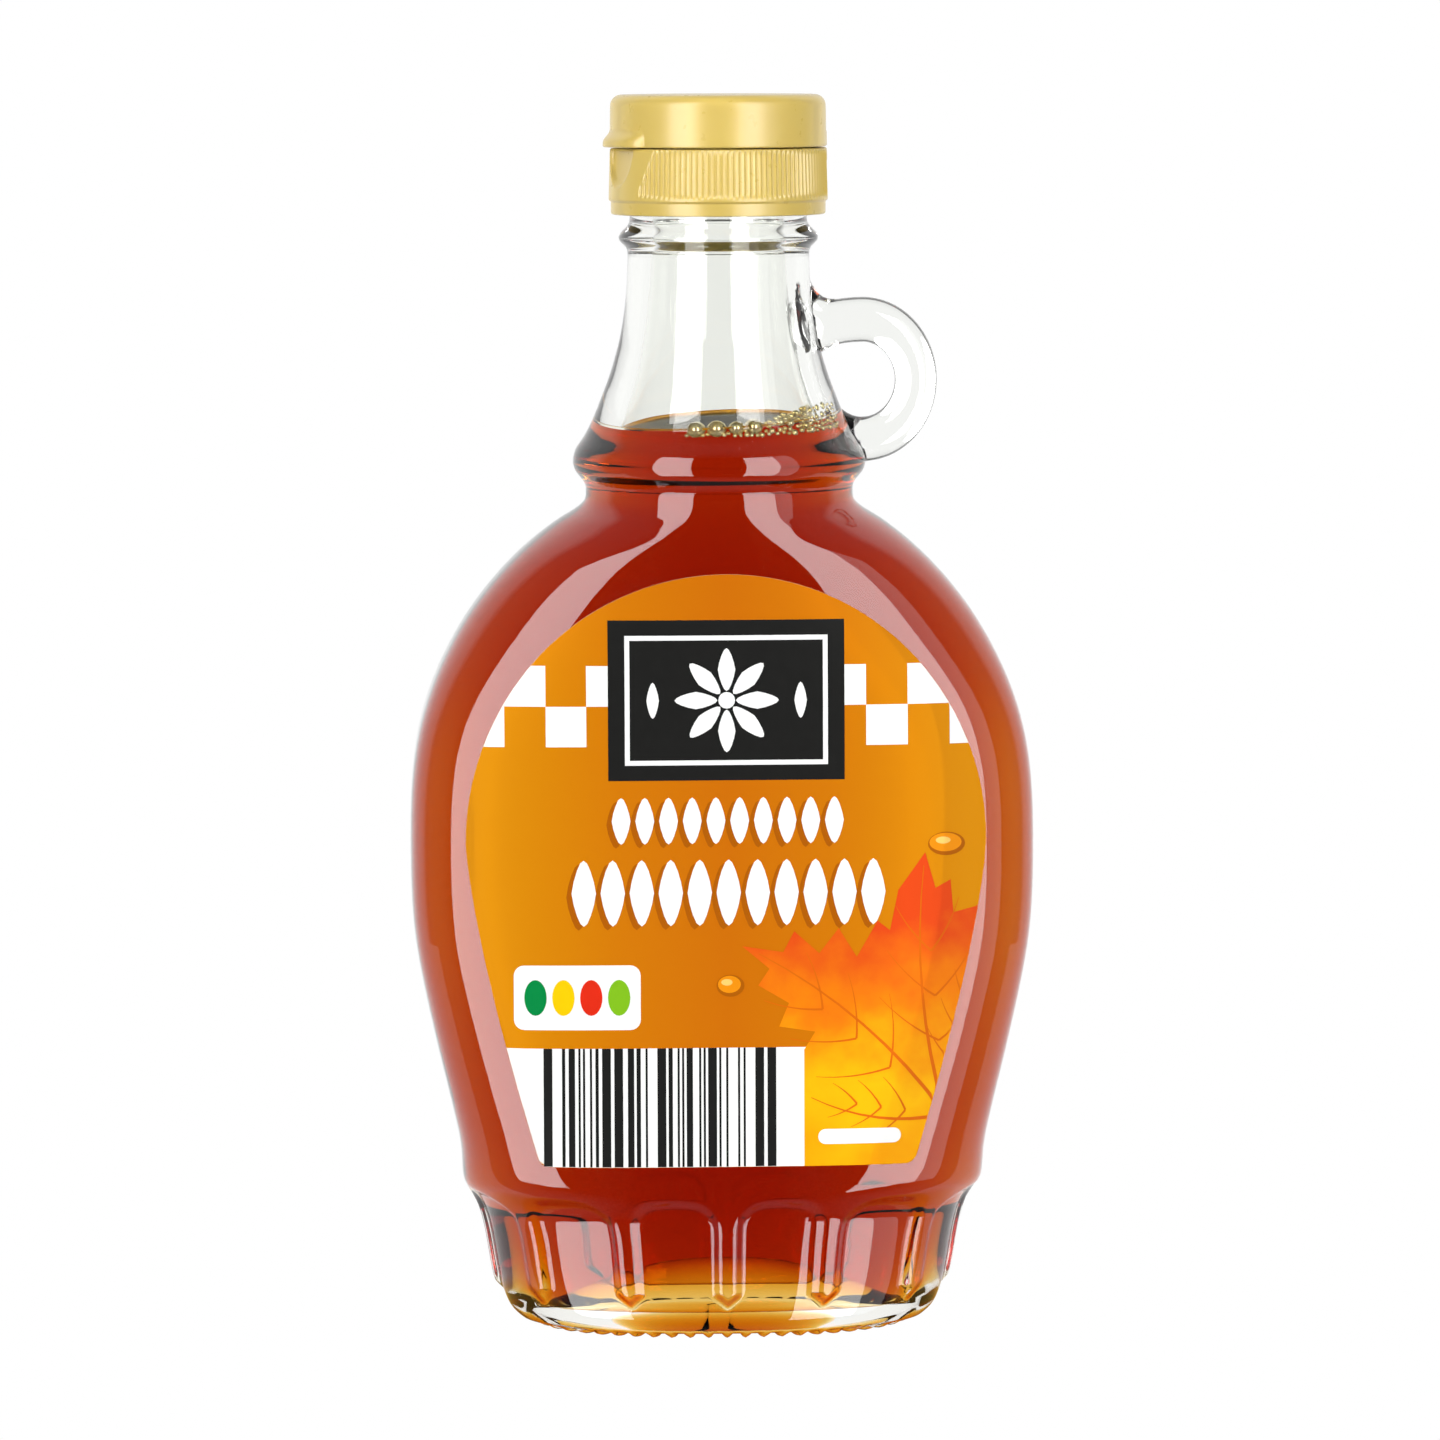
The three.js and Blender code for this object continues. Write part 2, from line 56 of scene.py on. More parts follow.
lens = bpy.data.cameras.new("camera")
lens.sensor_width = SENSOR
lens.lens = SENSOR * FOCAL_PIXELS / PHOTO_SIDE
lens.clip_start = 0.05
camera = bpy.data.objects.new("camera", lens)
yaw = math.radians(CAMERA_YAW)
camera.location = (-CAMERA_DISTANCE * math.sin(yaw), -CAMERA_DISTANCE * math.cos(yaw), CAMERA_HEIGHT)
turned = Euler((math.radians(90 - CAMERA_TILT), 0, -yaw)).to_matrix()
rolled = Matrix.Rotation(math.radians(-CAMERA_ROLL), 3, "Z")
camera.rotation_euler = (turned @ rolled).to_euler()
bpy.context.scene.collection.objects.link(camera)
bpy.context.scene.camera = camera
bpy.context.scene.view_settings.view_transform = "Standard"

# Outside of the glass: height, half-width, half-depth, squareness
OUTSIDE = np.array([
    (0.0, 28.2, 17.4, 2.3), (0.9, 30.4, 18.6, 2.3), (3.0, 32.4, 19.4, 2.3),
    (17.5, 35.9, 20.3, 2.35), (20.4, 37.4, 20.7, 2.7), (22.0, 38.1, 20.9, 3.1),
    (26.4, 38.3, 21.0, 3.6), (38.3, 40.9, 21.0, 4.0), (50.2, 43.5, 21.1, 4.3),
    (59.0, 45.05, 21.1, 4.45), (67.0, 45.4, 21.1, 4.5), (76.0, 45.4, 21.1, 4.5),
    (85.6, 44.65, 21.05, 4.4), (91.5, 43.2, 21.0, 4.2), (97.4, 41.0, 20.9, 3.6),
    (103.3, 37.8, 20.7, 3.1), (109.1, 33.5, 20.5, 2.9), (114.0, 28.8, 20.2, 2.6),
    (118.2, 23.5, 19.7, 2.1), (120.0, 20.6, 19.5, 2.0), (121.2, 19.5, 19.4, 2.0),
    (123.0, 19.45, 19.45, 2.0), (124.0, 20.0, 20.0, 2.0), (125.4, 21.1, 21.1, 2.0),
    (126.6, 21.35, 21.35, 2.0), (128.1, 21.05, 21.05, 2.0), (130.3, 19.65, 19.65, 2.0),
    (132.3, 18.6, 18.6, 2.0), (135.7, 17.2, 17.2, 2.0), (140.4, 15.5, 15.5, 2.0),
    (146.0, 14.1, 14.1, 2.0), (151.0, 13.45, 13.45, 2.0), (156.6, 13.2, 13.2, 2.0),
    (157.6, 13.3, 13.3, 2.0), (158.3, 14.2, 14.2, 2.0), (159.0, 14.6, 14.6, 2.0),
    (159.8, 14.2, 14.2, 2.0), (161.1, 12.95, 12.95, 2.0), (162.4, 12.85, 12.85, 2.0),
    (170.2, 12.5, 12.5, 2.0),
])

# Inside of the glass, in the same columns
INSIDE = np.array([
    (4.0, 23.0, 12.6, 2.3), (4.6, 25.2, 14.0, 2.3), (7.2, 27.2, 15.4, 2.3),
    (11.5, 29.2, 16.6, 2.3), (18.0, 31.4, 17.4, 2.35), (26.0, 33.6, 18.3, 2.45),
    (38.0, 36.4, 18.6, 2.5), (50.0, 38.6, 18.7, 2.5), (60.0, 39.9, 18.7, 2.5),
    (70.0, 40.3, 18.7, 2.5), (80.0, 39.9, 18.7, 2.5), (88.0, 38.8, 18.6, 2.5),
    (95.0, 36.9, 18.4, 2.5), (101.0, 34.2, 18.1, 2.45), (107.0, 30.0, 17.7, 2.35),
    (112.0, 25.8, 17.0, 2.25), (116.0, 21.4, 16.2, 2.1), (119.0, 17.6, 15.6, 2.0),
    (121.5, 15.4, 15.2, 2.0), (126.0, 15.8, 15.8, 2.0), (129.0, 14.9, 14.9, 2.0),
    (133.0, 13.6, 13.6, 2.0), (140.0, 11.6, 11.6, 2.0), (150.0, 10.2, 10.2, 2.0),
    (158.0, 9.7, 9.7, 2.0), (171.0, 9.6, 9.6, 2.0),
])
SMOOTHING = [(0, 0.5), (24, 0.7), (32, 4.0), (100, 4.0), (114, 1.2), (119, 0.35), (172, 0.35)]


def monotone(x, y):
    """Smooth curve through the points that never overshoots them."""
    h = np.diff(x)
    d = np.diff(y) / h
    m = np.zeros(len(x))
    m[0], m[-1] = d[0], d[-1]
    for i in range(1, len(x) - 1):
        if d[i - 1] * d[i] > 0:
            before, after = 2 * h[i] + h[i - 1], h[i] + 2 * h[i - 1]
            m[i] = (before + after) / (before / d[i - 1] + after / d[i])

    def at(t):
        t = np.clip(t, x[0], x[-1])
        i = np.clip(np.searchsorted(x, t) - 1, 0, len(h) - 1)
        s = (t - x[i]) / h[i]
        rise = s * s * (3 - 2 * s)
        return y[i] * (1 - rise) + y[i + 1] * rise + h[i] * s * (1 - s) * (m[i] * (1 - s) - m[i + 1] * s)

    return at


def section(table):
    """Half-width, half-depth and squareness at a height, with the joins smoothed out."""
    z = np.arange(table[0, 0], table[-1, 0] + 0.2, 0.2)
    sigma = np.interp(z, *zip(*SMOOTHING))
    columns = []
    for k in (1, 2, 3):
        raw = monotone(table[:, 0], table[:, k])(z)
        weight = np.exp(-0.5 * ((z[:, None] - z[None, :]) / sigma[:, None]) ** 2)
        blurred = (weight * raw[None, :]).sum(1) / weight.sum(1)
        edge = np.clip(np.minimum(z - z[0], z[-1] - z) / (3 * sigma), 0, 1)
        columns.append(raw + (blurred - raw) * edge)
    return lambda at: tuple(float(np.interp(at, z, c)) for c in columns)


outside = section(OUTSIDE)
inside = section(INSIDE)


def oval(a, b, n, t):
    c, s = np.cos(t), np.sin(t)
    reach = (np.abs(c) ** n + np.abs(s) ** n) ** (-1 / n)
    return a * c * reach, b * s * reach


def smooth(x):
    x = np.clip(x, 0, 1)
    return x * x * (3 - 2 * x)


# Columns round the bottle, evenly spaced along the foot's outline
PANEL_COUNT = 12
COLUMNS = 30 * PANEL_COUNT
FINE_STEPS = 1440
PANEL_MIDDLE = 11
fine_t = np.linspace(0, TURN, FINE_STEPS + 1)
fine_x, fine_y = oval(*outside(PANEL_MIDDLE), fine_t)
walked = np.concatenate([[0], np.cumsum(np.hypot(np.diff(fine_x), np.diff(fine_y)))])
PITCH = walked[-1] / PANEL_COUNT
along = np.arange(COLUMNS) * walked[-1] / COLUMNS
angles = np.interp(along, walked, fine_t)
from_rib = np.abs((along + PITCH / 2) % PITCH - PITCH / 2)
from_middle = PITCH / 2 - from_rib

PANEL_DEPTH = 0.9
PANEL_TOP = 21.2
PANEL_CORNER = 4.0
PANEL_CROWN = 0.025
PANEL_BEVEL = 1.65
RIB_HALF = 0.8
RIB_END = 4.4
RIB_END_LENGTH = 1.8
RIB_POINT = 0.8
PANELS_END = 24


def panel_sink(z):
    """How far each column lies inside the outline at height z: panels between ribs with pointed ends."""
    dx = from_middle - (PITCH / 2 - RIB_HALF - PANEL_CORNER)
    dz = z + PANEL_CROWN * from_middle ** 2 - (PANEL_TOP - PANEL_CORNER)
    rounded = np.hypot(np.maximum(dx, 0), np.maximum(dz, 0))
    inward = PANEL_CORNER - np.where(rounded > 0, rounded, np.maximum(dx, dz))
    below = (RIB_END + RIB_END_LENGTH - z + RIB_POINT * from_rib / RIB_HALF) / RIB_END_LENGTH
    return PANEL_DEPTH * np.maximum(smooth(inward / PANEL_BEVEL), smooth(below))


def outer_ring(z):
    a, b, n = outside(z)
    sink = panel_sink(z) if z < PANELS_END else 0
    x, y = oval(a - sink, b - sink, n, angles)
    return np.stack([x, y, np.full(COLUMNS, z)], 1)


# The syrup stands a little higher on the handle's side
LEVEL = 131.2
LEVEL_SLOPE = math.tan(math.radians(3.0))
SLOPE_REACH = 4.0


def inner_ring(z, grow=0.0):
    """Ring on the inner wall, or just behind it, that slopes as the syrup's surface does near it."""
    a, b, n = inside(z)
    slope = LEVEL_SLOPE * smooth(1 - abs(z - LEVEL) / SLOPE_REACH)
    if slope == 0:
        x, y = oval(a + grow, b + grow, n, angles)
        return np.stack([x, y, np.full(COLUMNS, z)], 1)
    height = z + slope * oval(a, b, n, angles)[0]
    reach = np.array([inside(h)[0] for h in height]) + grow
    return np.stack([reach * np.cos(angles), reach * np.sin(angles), height], 1)


def mesh_object(name, vertices, faces, materials, sharp=None):
    """Object from points in millimetres, smooth except at edges over the sharp angle."""
    mesh = bpy.data.meshes.new(name)
    mesh.from_pydata((np.asarray(vertices, float) * MM).tolist(), [], [list(f) for f in faces])
    mesh.update()
    mesh.shade_smooth()
    if sharp:
        mesh.set_sharp_from_angle(angle=math.radians(sharp))
    obj = bpy.data.objects.new(name, mesh)
    for material in materials:
        mesh.materials.append(material)
    bpy.context.scene.collection.objects.link(obj)
    return obj


def loft(rings, first=None, last=None):
    """Quads through rings of equal length, closed at each end by a point or left open."""
    count = len(rings[0])
    vertices = np.concatenate(rings)
    ring = np.arange(count)
    after = np.roll(ring, -1)
    faces = []
    for k in range(len(rings) - 1):
        low, high = k * count, (k + 1) * count
        faces += np.stack([low + ring, low + after, high + after, high + ring], 1).tolist()
    if first is not None:
        vertices = np.concatenate([vertices, [first]])
        faces += [[len(vertices) - 1, int(j), int(i)] for i, j in zip(ring, after)]
    if last is not None:
        vertices = np.concatenate([vertices, [last]])
        top = (len(rings) - 1) * count
        faces += [[len(vertices) - 1, int(top + i), int(top + j)] for i, j in zip(ring, after)]
    return vertices, faces


# Materials
def colour(r, g, b):
    """Linear colour from an ordinary 0 to 255 one."""
    line = [v / 255 for v in (r, g, b)]
    return [v / 12.92 if v <= 0.04045 else ((v + 0.055) / 1.055) ** 2.4 for v in line] + [1]


class Shader:
    """A material with its principled node, and short ways to add nodes."""

    def __init__(self, name, **settings):
        self.material = bpy.data.materials.new(name)
        self.material.use_nodes = True
        self.nodes = self.material.node_tree.nodes
        self.links = self.material.node_tree.links
        self.surface = self.nodes["Principled BSDF"]
        for key, value in settings.items():
            self.surface.inputs[key.replace("_", " ")].default_value = value

    def add(self, kind, **settings):
        node = self.nodes.new(kind)
        for key, value in settings.items():
            if hasattr(node, key):
                setattr(node, key, value)
            else:
                node.inputs[key.replace("_", " ")].default_value = value
        return node

    def place(self):
        return self.add("ShaderNodeTexCoord").outputs["Object"]

    def noise(self, scale, detail=3.0, rough=0.5, stretch=None):
        where = self.place()
        if stretch:
            mapping = self.add("ShaderNodeMapping")
            mapping.inputs["Scale"].default_value = stretch
            self.links.new(where, mapping.inputs["Vector"])
            where = mapping.outputs["Vector"]
        node = self.add("ShaderNodeTexNoise", Scale=scale, Detail=detail, Roughness=rough)
        self.links.new(where, node.inputs["Vector"])
        return node.outputs["Fac"]

    def ramp(self, value, stops):
        node = self.add("ShaderNodeValToRGB")
        while len(node.color_ramp.elements) < len(stops):
            node.color_ramp.elements.new(0.5)
        for element, (position, shade) in zip(node.color_ramp.elements, stops):
            element.position = position
            element.color = shade
        self.links.new(value, node.inputs["Fac"])
        return node.outputs["Color"]

    def rough(self, value, low, high):
        node = self.add("ShaderNodeMapRange")
        node.inputs["To Min"].default_value = low
        node.inputs["To Max"].default_value = high
        self.links.new(value, node.inputs["Value"])
        self.links.new(node.outputs["Result"], self.surface.inputs["Roughness"])

    def bump(self, value, distance, strength=1.0):
        node = self.add("ShaderNodeBump", Strength=strength, Distance=distance)
        self.links.new(value, node.inputs["Height"])
        self.links.new(node.outputs["Normal"], self.surface.inputs["Normal"])


def grey(value):
    return [value, value, value, 1]


GLASS_INDEX, SYRUP_INDEX, FILM_INDEX = 1.5, 1.45, 1.33
GLASS_TINT = (0.975, 0.985, 0.955, 1)
SYRUP_TINT = (0.927, 0.704, 0.02, 1)
SYRUP_DENSITY = 480
BORE = 0.0146


def glass_material():
    s = Shader("clear_glass", Transmission_Weight=1.0, IOR=GLASS_INDEX)
    s.surface.inputs["Base Color"].default_value = GLASS_TINT
    s.rough(s.noise(60), 0.0, 0.012)
    s.bump(s.noise(28, detail=2), 0.00012, 0.5)
    return s.material


def wetted_material():
    """Inner wall below the syrup's surface, where the syrup's own surface bends the light."""
    material = bpy.data.materials.new("wetted_wall")
    material.use_nodes = True
    nodes = material.node_tree.nodes
    clear = nodes.new("ShaderNodeBsdfTransparent")
    material.node_tree.links.new(clear.outputs["BSDF"], nodes["Material Output"].inputs["Surface"])
    nodes.remove(nodes["Principled BSDF"])
    return material


def syrup_material():
    """Amber volume; its surface lies inside the glass, so the index is syrup to glass."""
    material = bpy.data.materials.new("amber_syrup")
    material.use_nodes = True
    nodes, links = material.node_tree.nodes, material.node_tree.links
    nodes.remove(nodes["Principled BSDF"])
    surface = nodes.new("ShaderNodeBsdfGlass")
    surface.inputs["IOR"].default_value = SYRUP_INDEX / GLASS_INDEX
    surface.inputs["Roughness"].default_value = 0
    links.new(surface.outputs["BSDF"], nodes["Material Output"].inputs["Surface"])
    absorb = nodes.new("ShaderNodeVolumeAbsorption")
    absorb.inputs["Color"].default_value = SYRUP_TINT
    absorb.inputs["Density"].default_value = SYRUP_DENSITY
    links.new(absorb.outputs["Volume"], nodes["Material Output"].inputs["Volume"])
    return material


def liquid_top_material():
    """Dark amber film, golden where it creeps up the wall."""
    s = Shader("syrup_top", Transmission_Weight=0.15, IOR=GLASS_INDEX,
               Coat_Weight=0.12, Coat_Roughness=0.05)
    s.surface.inputs["Specular IOR Level"].default_value = 0
    flat = s.add("ShaderNodeMapping")
    flat.inputs["Scale"].default_value = (1 / BORE, 1 / BORE, 0)
    s.links.new(s.place(), flat.inputs["Vector"])
    reach = s.add("ShaderNodeVectorMath", operation="LENGTH")
    s.links.new(flat.outputs["Vector"], reach.inputs[0])
    ripple = s.add("ShaderNodeMath", operation="MULTIPLY_ADD")
    s.links.new(s.noise(160, detail=3, stretch=(1, 0.4, 1)), ripple.inputs[0])
    ripple.inputs[1].default_value = 0.16
    s.links.new(reach.outputs["Value"], ripple.inputs[2])
    tint = s.ramp(ripple.outputs["Value"], [
        (0.3, colour(58, 50, 30)), (0.75, colour(96, 86, 52)), (0.93, colour(124, 96, 44)),
        (1.0, colour(216, 150, 34))])
    s.links.new(tint, s.surface.inputs["Base Color"])
    s.rough(s.noise(40), 0.0, 0.08)
    return s.material


def bubble_material():
    """Gold-green film, half clear and half mirror."""
    s = Shader("bubble_film", Transmission_Weight=0.55, IOR=FILM_INDEX, Metallic=0.45)
    s.links.new(s.ramp(s.noise(500), [(0.35, (0.72, 0.55, 0.18, 1)), (0.65, (0.92, 0.84, 0.50, 1))]),
                s.surface.inputs["Base Color"])
    s.rough(s.noise(900), 0.0, 0.04)
    return s.material


PRINT_GLOSS = 0.03
PAINTED_SIDE_LIGHT_REACH = 0.036
LEAF_LOW, LEAF_HIGH = 0.030, 0.072


def print_material(name, shade, roughness=0.5, variation=0.04):
    """Ink on paper, with a faint mottle and grain."""
    s = Shader(name)
    s.surface.inputs["Specular IOR Level"].default_value = PRINT_GLOSS
    dark = [v * (1 - variation) for v in shade[:3]] + [1]
    tint = s.ramp(s.noise(420, detail=5), [(0.35, dark), (0.65, shade)])
    s.links.new(tint, s.surface.inputs["Base Color"])
    s.rough(s.noise(900), roughness - 0.06, roughness + 0.06)
    s.bump(s.noise(2500), 0.00001, 0.3)
    return s.material


def label_material():
    """Orange paper, deeper in the middle and yellower at the sides as painted light, where the lamps face it
    more.
    """
    s = Shader("label_orange")
    s.surface.inputs["Specular IOR Level"].default_value = PRINT_GLOSS
    parts = s.add("ShaderNodeSeparateXYZ")
    s.links.new(s.place(), parts.inputs["Vector"])
    side = s.add("ShaderNodeMath", operation="ABSOLUTE")
    s.links.new(parts.outputs["X"], side.inputs[0])
    spread = s.add("ShaderNodeMapRange")
    spread.inputs["From Max"].default_value = PAINTED_SIDE_LIGHT_REACH
    s.links.new(side.outputs["Value"], spread.inputs["Value"])
    grain = s.noise(380, detail=5)
    wobble = s.add("ShaderNodeMath", operation="MULTIPLY_ADD")
    s.links.new(grain, wobble.inputs[0])
    wobble.inputs[1].default_value = 0.06
    s.links.new(spread.outputs["Result"], wobble.inputs[2])
    # Painted light: the paper turns lighter and yellower towards the sides, where the lamps face it more
    tint = s.ramp(wobble.outputs["Value"], [
        (0.0, colour(201, 107, 0)), (0.45, colour(206, 118, 0)), (1.0, colour(217, 140, 0))])
    s.links.new(tint, s.surface.inputs["Base Color"])
    s.rough(s.noise(900), 0.44, 0.56)
    s.bump(s.noise(2500), 0.00001, 0.3)
    return s.material


def leaf_material():
    """Orange at the tips, yellow in the middle."""
    s = Shader("leaf_print")
    s.surface.inputs["Specular IOR Level"].default_value = PRINT_GLOSS
    parts = s.add("ShaderNodeSeparateXYZ")
    s.links.new(s.place(), parts.inputs["Vector"])
    rise = s.add("ShaderNodeMapRange")
    rise.inputs["From Min"].default_value = LEAF_LOW
    rise.inputs["From Max"].default_value = LEAF_HIGH
    s.links.new(parts.outputs["Z"], rise.inputs["Value"])
    mottle = s.noise(140, detail=5)
    mixed = s.add("ShaderNodeMath", operation="MULTIPLY_ADD")
    s.links.new(mottle, mixed.inputs[0])
    mixed.inputs[1].default_value = 0.5
    s.links.new(rise.outputs["Result"], mixed.inputs[2])
    tint = s.ramp(mixed.outputs["Value"], [
        (0.15, colour(246, 160, 0)), (0.42, colour(250, 186, 6)), (0.7, colour(240, 128, 8)),
        (1.0, colour(224, 72, 20))])
    s.links.new(tint, s.surface.inputs["Base Color"])
    s.rough(s.noise(900), 0.44, 0.56)
    s.bump(s.noise(700, detail=4), 0.00002, 0.4)
    return s.material


def cap_material():
    """Pale gold plastic with a soft grain."""
    s = Shader("gold_plastic", Coat_Weight=0.15, Coat_Roughness=0.2)
    shade = colour(192, 168, 88)
    deep = colour(187, 162, 81)
    s.links.new(s.ramp(s.noise(90, detail=4), [(0.3, deep), (0.7, shade)]), s.surface.inputs["Base Color"])
    s.rough(s.noise(500, detail=4), 0.24, 0.34)
    s.bump(s.noise(1800, detail=3), 0.00001, 0.4)
    s.surface.inputs["Subsurface Weight"].default_value = 0.12
    s.surface.inputs["Subsurface Radius"].default_value = (0.6, 0.4, 0.15)
    s.surface.inputs["Subsurface Scale"].default_value = 0.002
    return s.material


GLASS = glass_material()
WETTED = wetted_material()
SYRUP = syrup_material()
LIQUID_TOP = liquid_top_material()
BUBBLE = bubble_material()
ORANGE = label_material()
PAPER_BACK = print_material("paper_back", colour(225, 222, 212), 0.7)
WHITE = print_material("print_white", colour(252, 252, 250))
BLACK = print_material("print_black", colour(26, 26, 25), 0.42, 0.1)
SHADE = print_material("print_shade", colour(176, 92, 0))
VEIN = print_material("print_vein", colour(222, 104, 8))
LEAF = leaf_material()
DROP = print_material("print_drop", colour(240, 146, 14))
SPOT = print_material("print_spot", colour(250, 205, 110))
CAP = cap_material()


# Glass: up the outside, over the lip and down the inside
def heights(*spans):
    """Heights from (start, stop, step) spans, without the last stop."""
    return [z for start, stop, step in spans for z in np.arange(start, stop - 1e-6, step)]


KNURLS = 52
knurl = np.clip(np.cos(np.arange(COLUMNS) * TURN * KNURLS / COLUMNS), 0, 1) ** 0.8
BASE_A, BASE_B, BASE_N = OUTSIDE[0, 1] - PANEL_DEPTH, OUTSIDE[0, 2] - PANEL_DEPTH, OUTSIDE[0, 3]
# Underside: share of the foot's outline, height and knurl depth
UNDERSIDE = ((0.25, 2.9, 0.0), (0.5, 2.5, 0.0), (0.68, 1.9, 0.0), (0.77, 1.4, 0.0), (0.82, 0.95, 0.0),
             (0.855, 0.7, 0.0), (0.88, 0.62, 0.15), (0.905, 0.6, 0.4), (0.93, 0.6, 0.55),
             (0.955, 0.6, 0.6), (0.98, 0.62, 0.6), (1.005, 0.7, 0.5), (1.03, 0.88, 0.3))
LIP = ((12.35, 170.05), (12.0, 170.2), (10.6, 170.2), (9.9, 170.0), (9.65, 169.6))
OUTER_HEIGHTS = heights((1.1, 3.2, 0.35), (3.2, 8, 0.4), (8, 17, 1.0), (17, 23, 0.35), (23, 28, 0.8),
                        (28, 112, 1.5), (112, 118, 0.8), (118, 131, 0.4), (131, 156, 1.1),
                        (156, 162.6, 0.25), (162.6, 169.8, 1.8))


def base_ring(share, z, bumps):
    x, y = oval(BASE_A * share, BASE_B * share, BASE_N, angles)
    return np.stack([x, y, z - bumps * knurl], 1)


# Rings of the inner wall: the floor with its corner, the wetted part and the part above the syrup
CORNER_Z = 4.4
FLOOR = ((0.1, 10.2), (0.22, 9.95), (0.35, 9.5), (0.48, 8.6), (0.6, 7.5), (0.7, 6.4), (0.8, 5.2),
         (0.88, 4.3), (0.94, 3.8), (0.97, 3.8), (0.99, 4.0))
FLOOR_MIDDLE = 10.3
UNDERSIDE_MIDDLE = 3.0
WET_HEIGHTS = heights((CORNER_Z, 14, 0.6), (14, 28, 1.4), (28, 104, 2.2), (104, 116, 1.2),
                      (116, 131.0, 0.5))
WET_HEIGHTS.append(LEVEL)
DRY_HEIGHTS = heights((131.7, 136, 0.5), (136, 168, 3.0))


def floor_rings(grow=0.0):
    a, b, n = inside(CORNER_Z)
    rings = []
    for share, z in FLOOR:
        x, y = oval(a * share + grow, b * share + grow, n, angles)
        rings.append(np.stack([x, y, np.full(COLUMNS, z - grow)], 1))
    return rings


def bottle_glass():
    rings = [base_ring(*row) for row in UNDERSIDE]
    rings += [outer_ring(z) for z in OUTER_HEIGHTS]
    rings += [np.stack([r * np.cos(angles), r * np.sin(angles), np.full(COLUMNS, z)], 1) for r, z in LIP]
    rings += [inner_ring(z) for z in reversed(WET_HEIGHTS + DRY_HEIGHTS)]
    rings += reversed(floor_rings())
    vertices, faces = loft(rings, (0, 0, UNDERSIDE_MIDDLE), (0, 0, FLOOR_MIDDLE))
    obj = mesh_object("glass_bottle", vertices, faces, [GLASS, WETTED])
    wet_from = (len(rings) - len(FLOOR) - len(WET_HEIGHTS)) * COLUMNS
    for polygon in obj.data.polygons:
        polygon.material_index = int(min(polygon.vertices) >= wet_from)
    return obj


# Handle: one bar bent into an oval ring, its top end spread up the neck
HANDLE_X, HANDLE_Z = 20.9, 138.3
HOLE_WIDE, HOLE_TALL = 4.76, 5.45
RING_WIDE, RING_TALL = 10.9, 12.0
BAR_HALF_WIDTH = 2.95
LAST_INNER, LAST_OUTER = -136, -117
# x, lowest z, highest z and half width between the neck and the top of the ring
HANDLE_ROOT = [
    (11.6, 144.5, 155.9, 2.5), (12.2, 143.6, 155.0, 2.55), (12.9, 142.9, 153.6, 2.6),
    (13.6, 142.5, 152.2, 2.7), (14.3, 142.3, 151.1, 2.8), (15.1, 142.35, 150.4, 2.87),
    (16.0, 142.8, 150.05, 2.92), (17.2, 143.35, 150.0, 2.95), (18.4, 143.58, 150.15, 2.95),
    (19.6, 143.7, 150.25, 2.95), (20.9, 143.75, 150.3, 2.95),
]
HANDLE_STEPS, HANDLE_SIDES = 72, 40


def handle_bar():
    """Oval sections across the bar, each between a point on the hole's edge and one on the outer edge."""
    t = np.arange(HANDLE_SIDES) * TURN / HANDLE_SIDES
    spans = [((x, foot), (x, top), width) for x, foot, top, width in HANDLE_ROOT]
    for k in range(1, HANDLE_STEPS + 1):
        inner = math.radians(90 + (LAST_INNER - 90) * k / HANDLE_STEPS)
        outer = math.radians(90 + (LAST_OUTER - 90) * k / HANDLE_STEPS)
        spans.append(((HANDLE_X + HOLE_WIDE * math.cos(inner), HANDLE_Z + HOLE_TALL * math.sin(inner)),
                      (HANDLE_X + RING_WIDE * math.cos(outer), HANDLE_Z + RING_TALL * math.sin(outer)),
                      BAR_HALF_WIDTH))
    rings = []
    for (x0, z0), (x1, z1), width in spans:
        across = (1 + np.cos(t)) / 2
        rings.append(np.stack([x0 + (x1 - x0) * across, -width * np.sin(t), z0 + (z1 - z0) * across], 1))
    return loft(rings, rings[0].mean(0), rings[-1].mean(0))


def apply_modifiers(obj):
    graph = bpy.context.evaluated_depsgraph_get()
    mesh = bpy.data.meshes.new_from_object(obj.evaluated_get(graph))
    obj.modifiers.clear()
    obj.data = mesh
    mesh.shade_smooth()


def join_solid(target, other):
    join = target.modifiers.new("join", "BOOLEAN")
    join.operation = "UNION"
    join.solver = "MANIFOLD"
    join.object = other
    apply_modifiers(target)
    bpy.data.objects.remove(other)


bar = mesh_object("handle_bar", *handle_bar(), [GLASS])
glass = bottle_glass()
join_solid(glass, bar)

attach(glass, "bottle")
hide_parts("bottle_glass")

# Syrup: it reaches just into the wall, and its surface creeps up the glass
REACH = 0.06
BELOW_TOP = 0.03
MENISCUS = ((0.0, 0.5), (0.12, 0.42), (0.35, 0.24), (0.7, 0.12), (1.3, 0.04), (2.4, 0.0), (5.0, 0.0))


def top_rings(lower=0.0):
    """Rings of the surface from the wall inwards, sloping with it."""
    rim = inner_ring(LEVEL, REACH)
    reach = np.hypot(rim[:, 0], rim[:, 1])
    rings = []
    for inset, lift in MENISCUS:
        share = (reach - inset) / reach
        height = LEVEL + lift - lower + LEVEL_SLOPE * rim[:, 0] * share
        rings.append(np.stack([rim[:, 0] * share, rim[:, 1] * share, height], 1))
    return rings


def syrup_body():
    rings = floor_rings(REACH) + [inner_ring(z, REACH) for z in WET_HEIGHTS]
    rings += top_rings(BELOW_TOP)
    vertices, faces = loft(rings, (0, 0, FLOOR_MIDDLE - REACH), (0, 0, LEVEL - BELOW_TOP))
    return mesh_object("syrup_fill", vertices, faces, [SYRUP])


def syrup_top():
    return mesh_object("syrup_surface", *loft(top_rings(), None, (0, 0, LEVEL)), [LIQUID_TOP])


syrup = syrup_body()
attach(syrup, "bottle")
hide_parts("syrup")
surface = syrup_top()
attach(surface, "bottle")


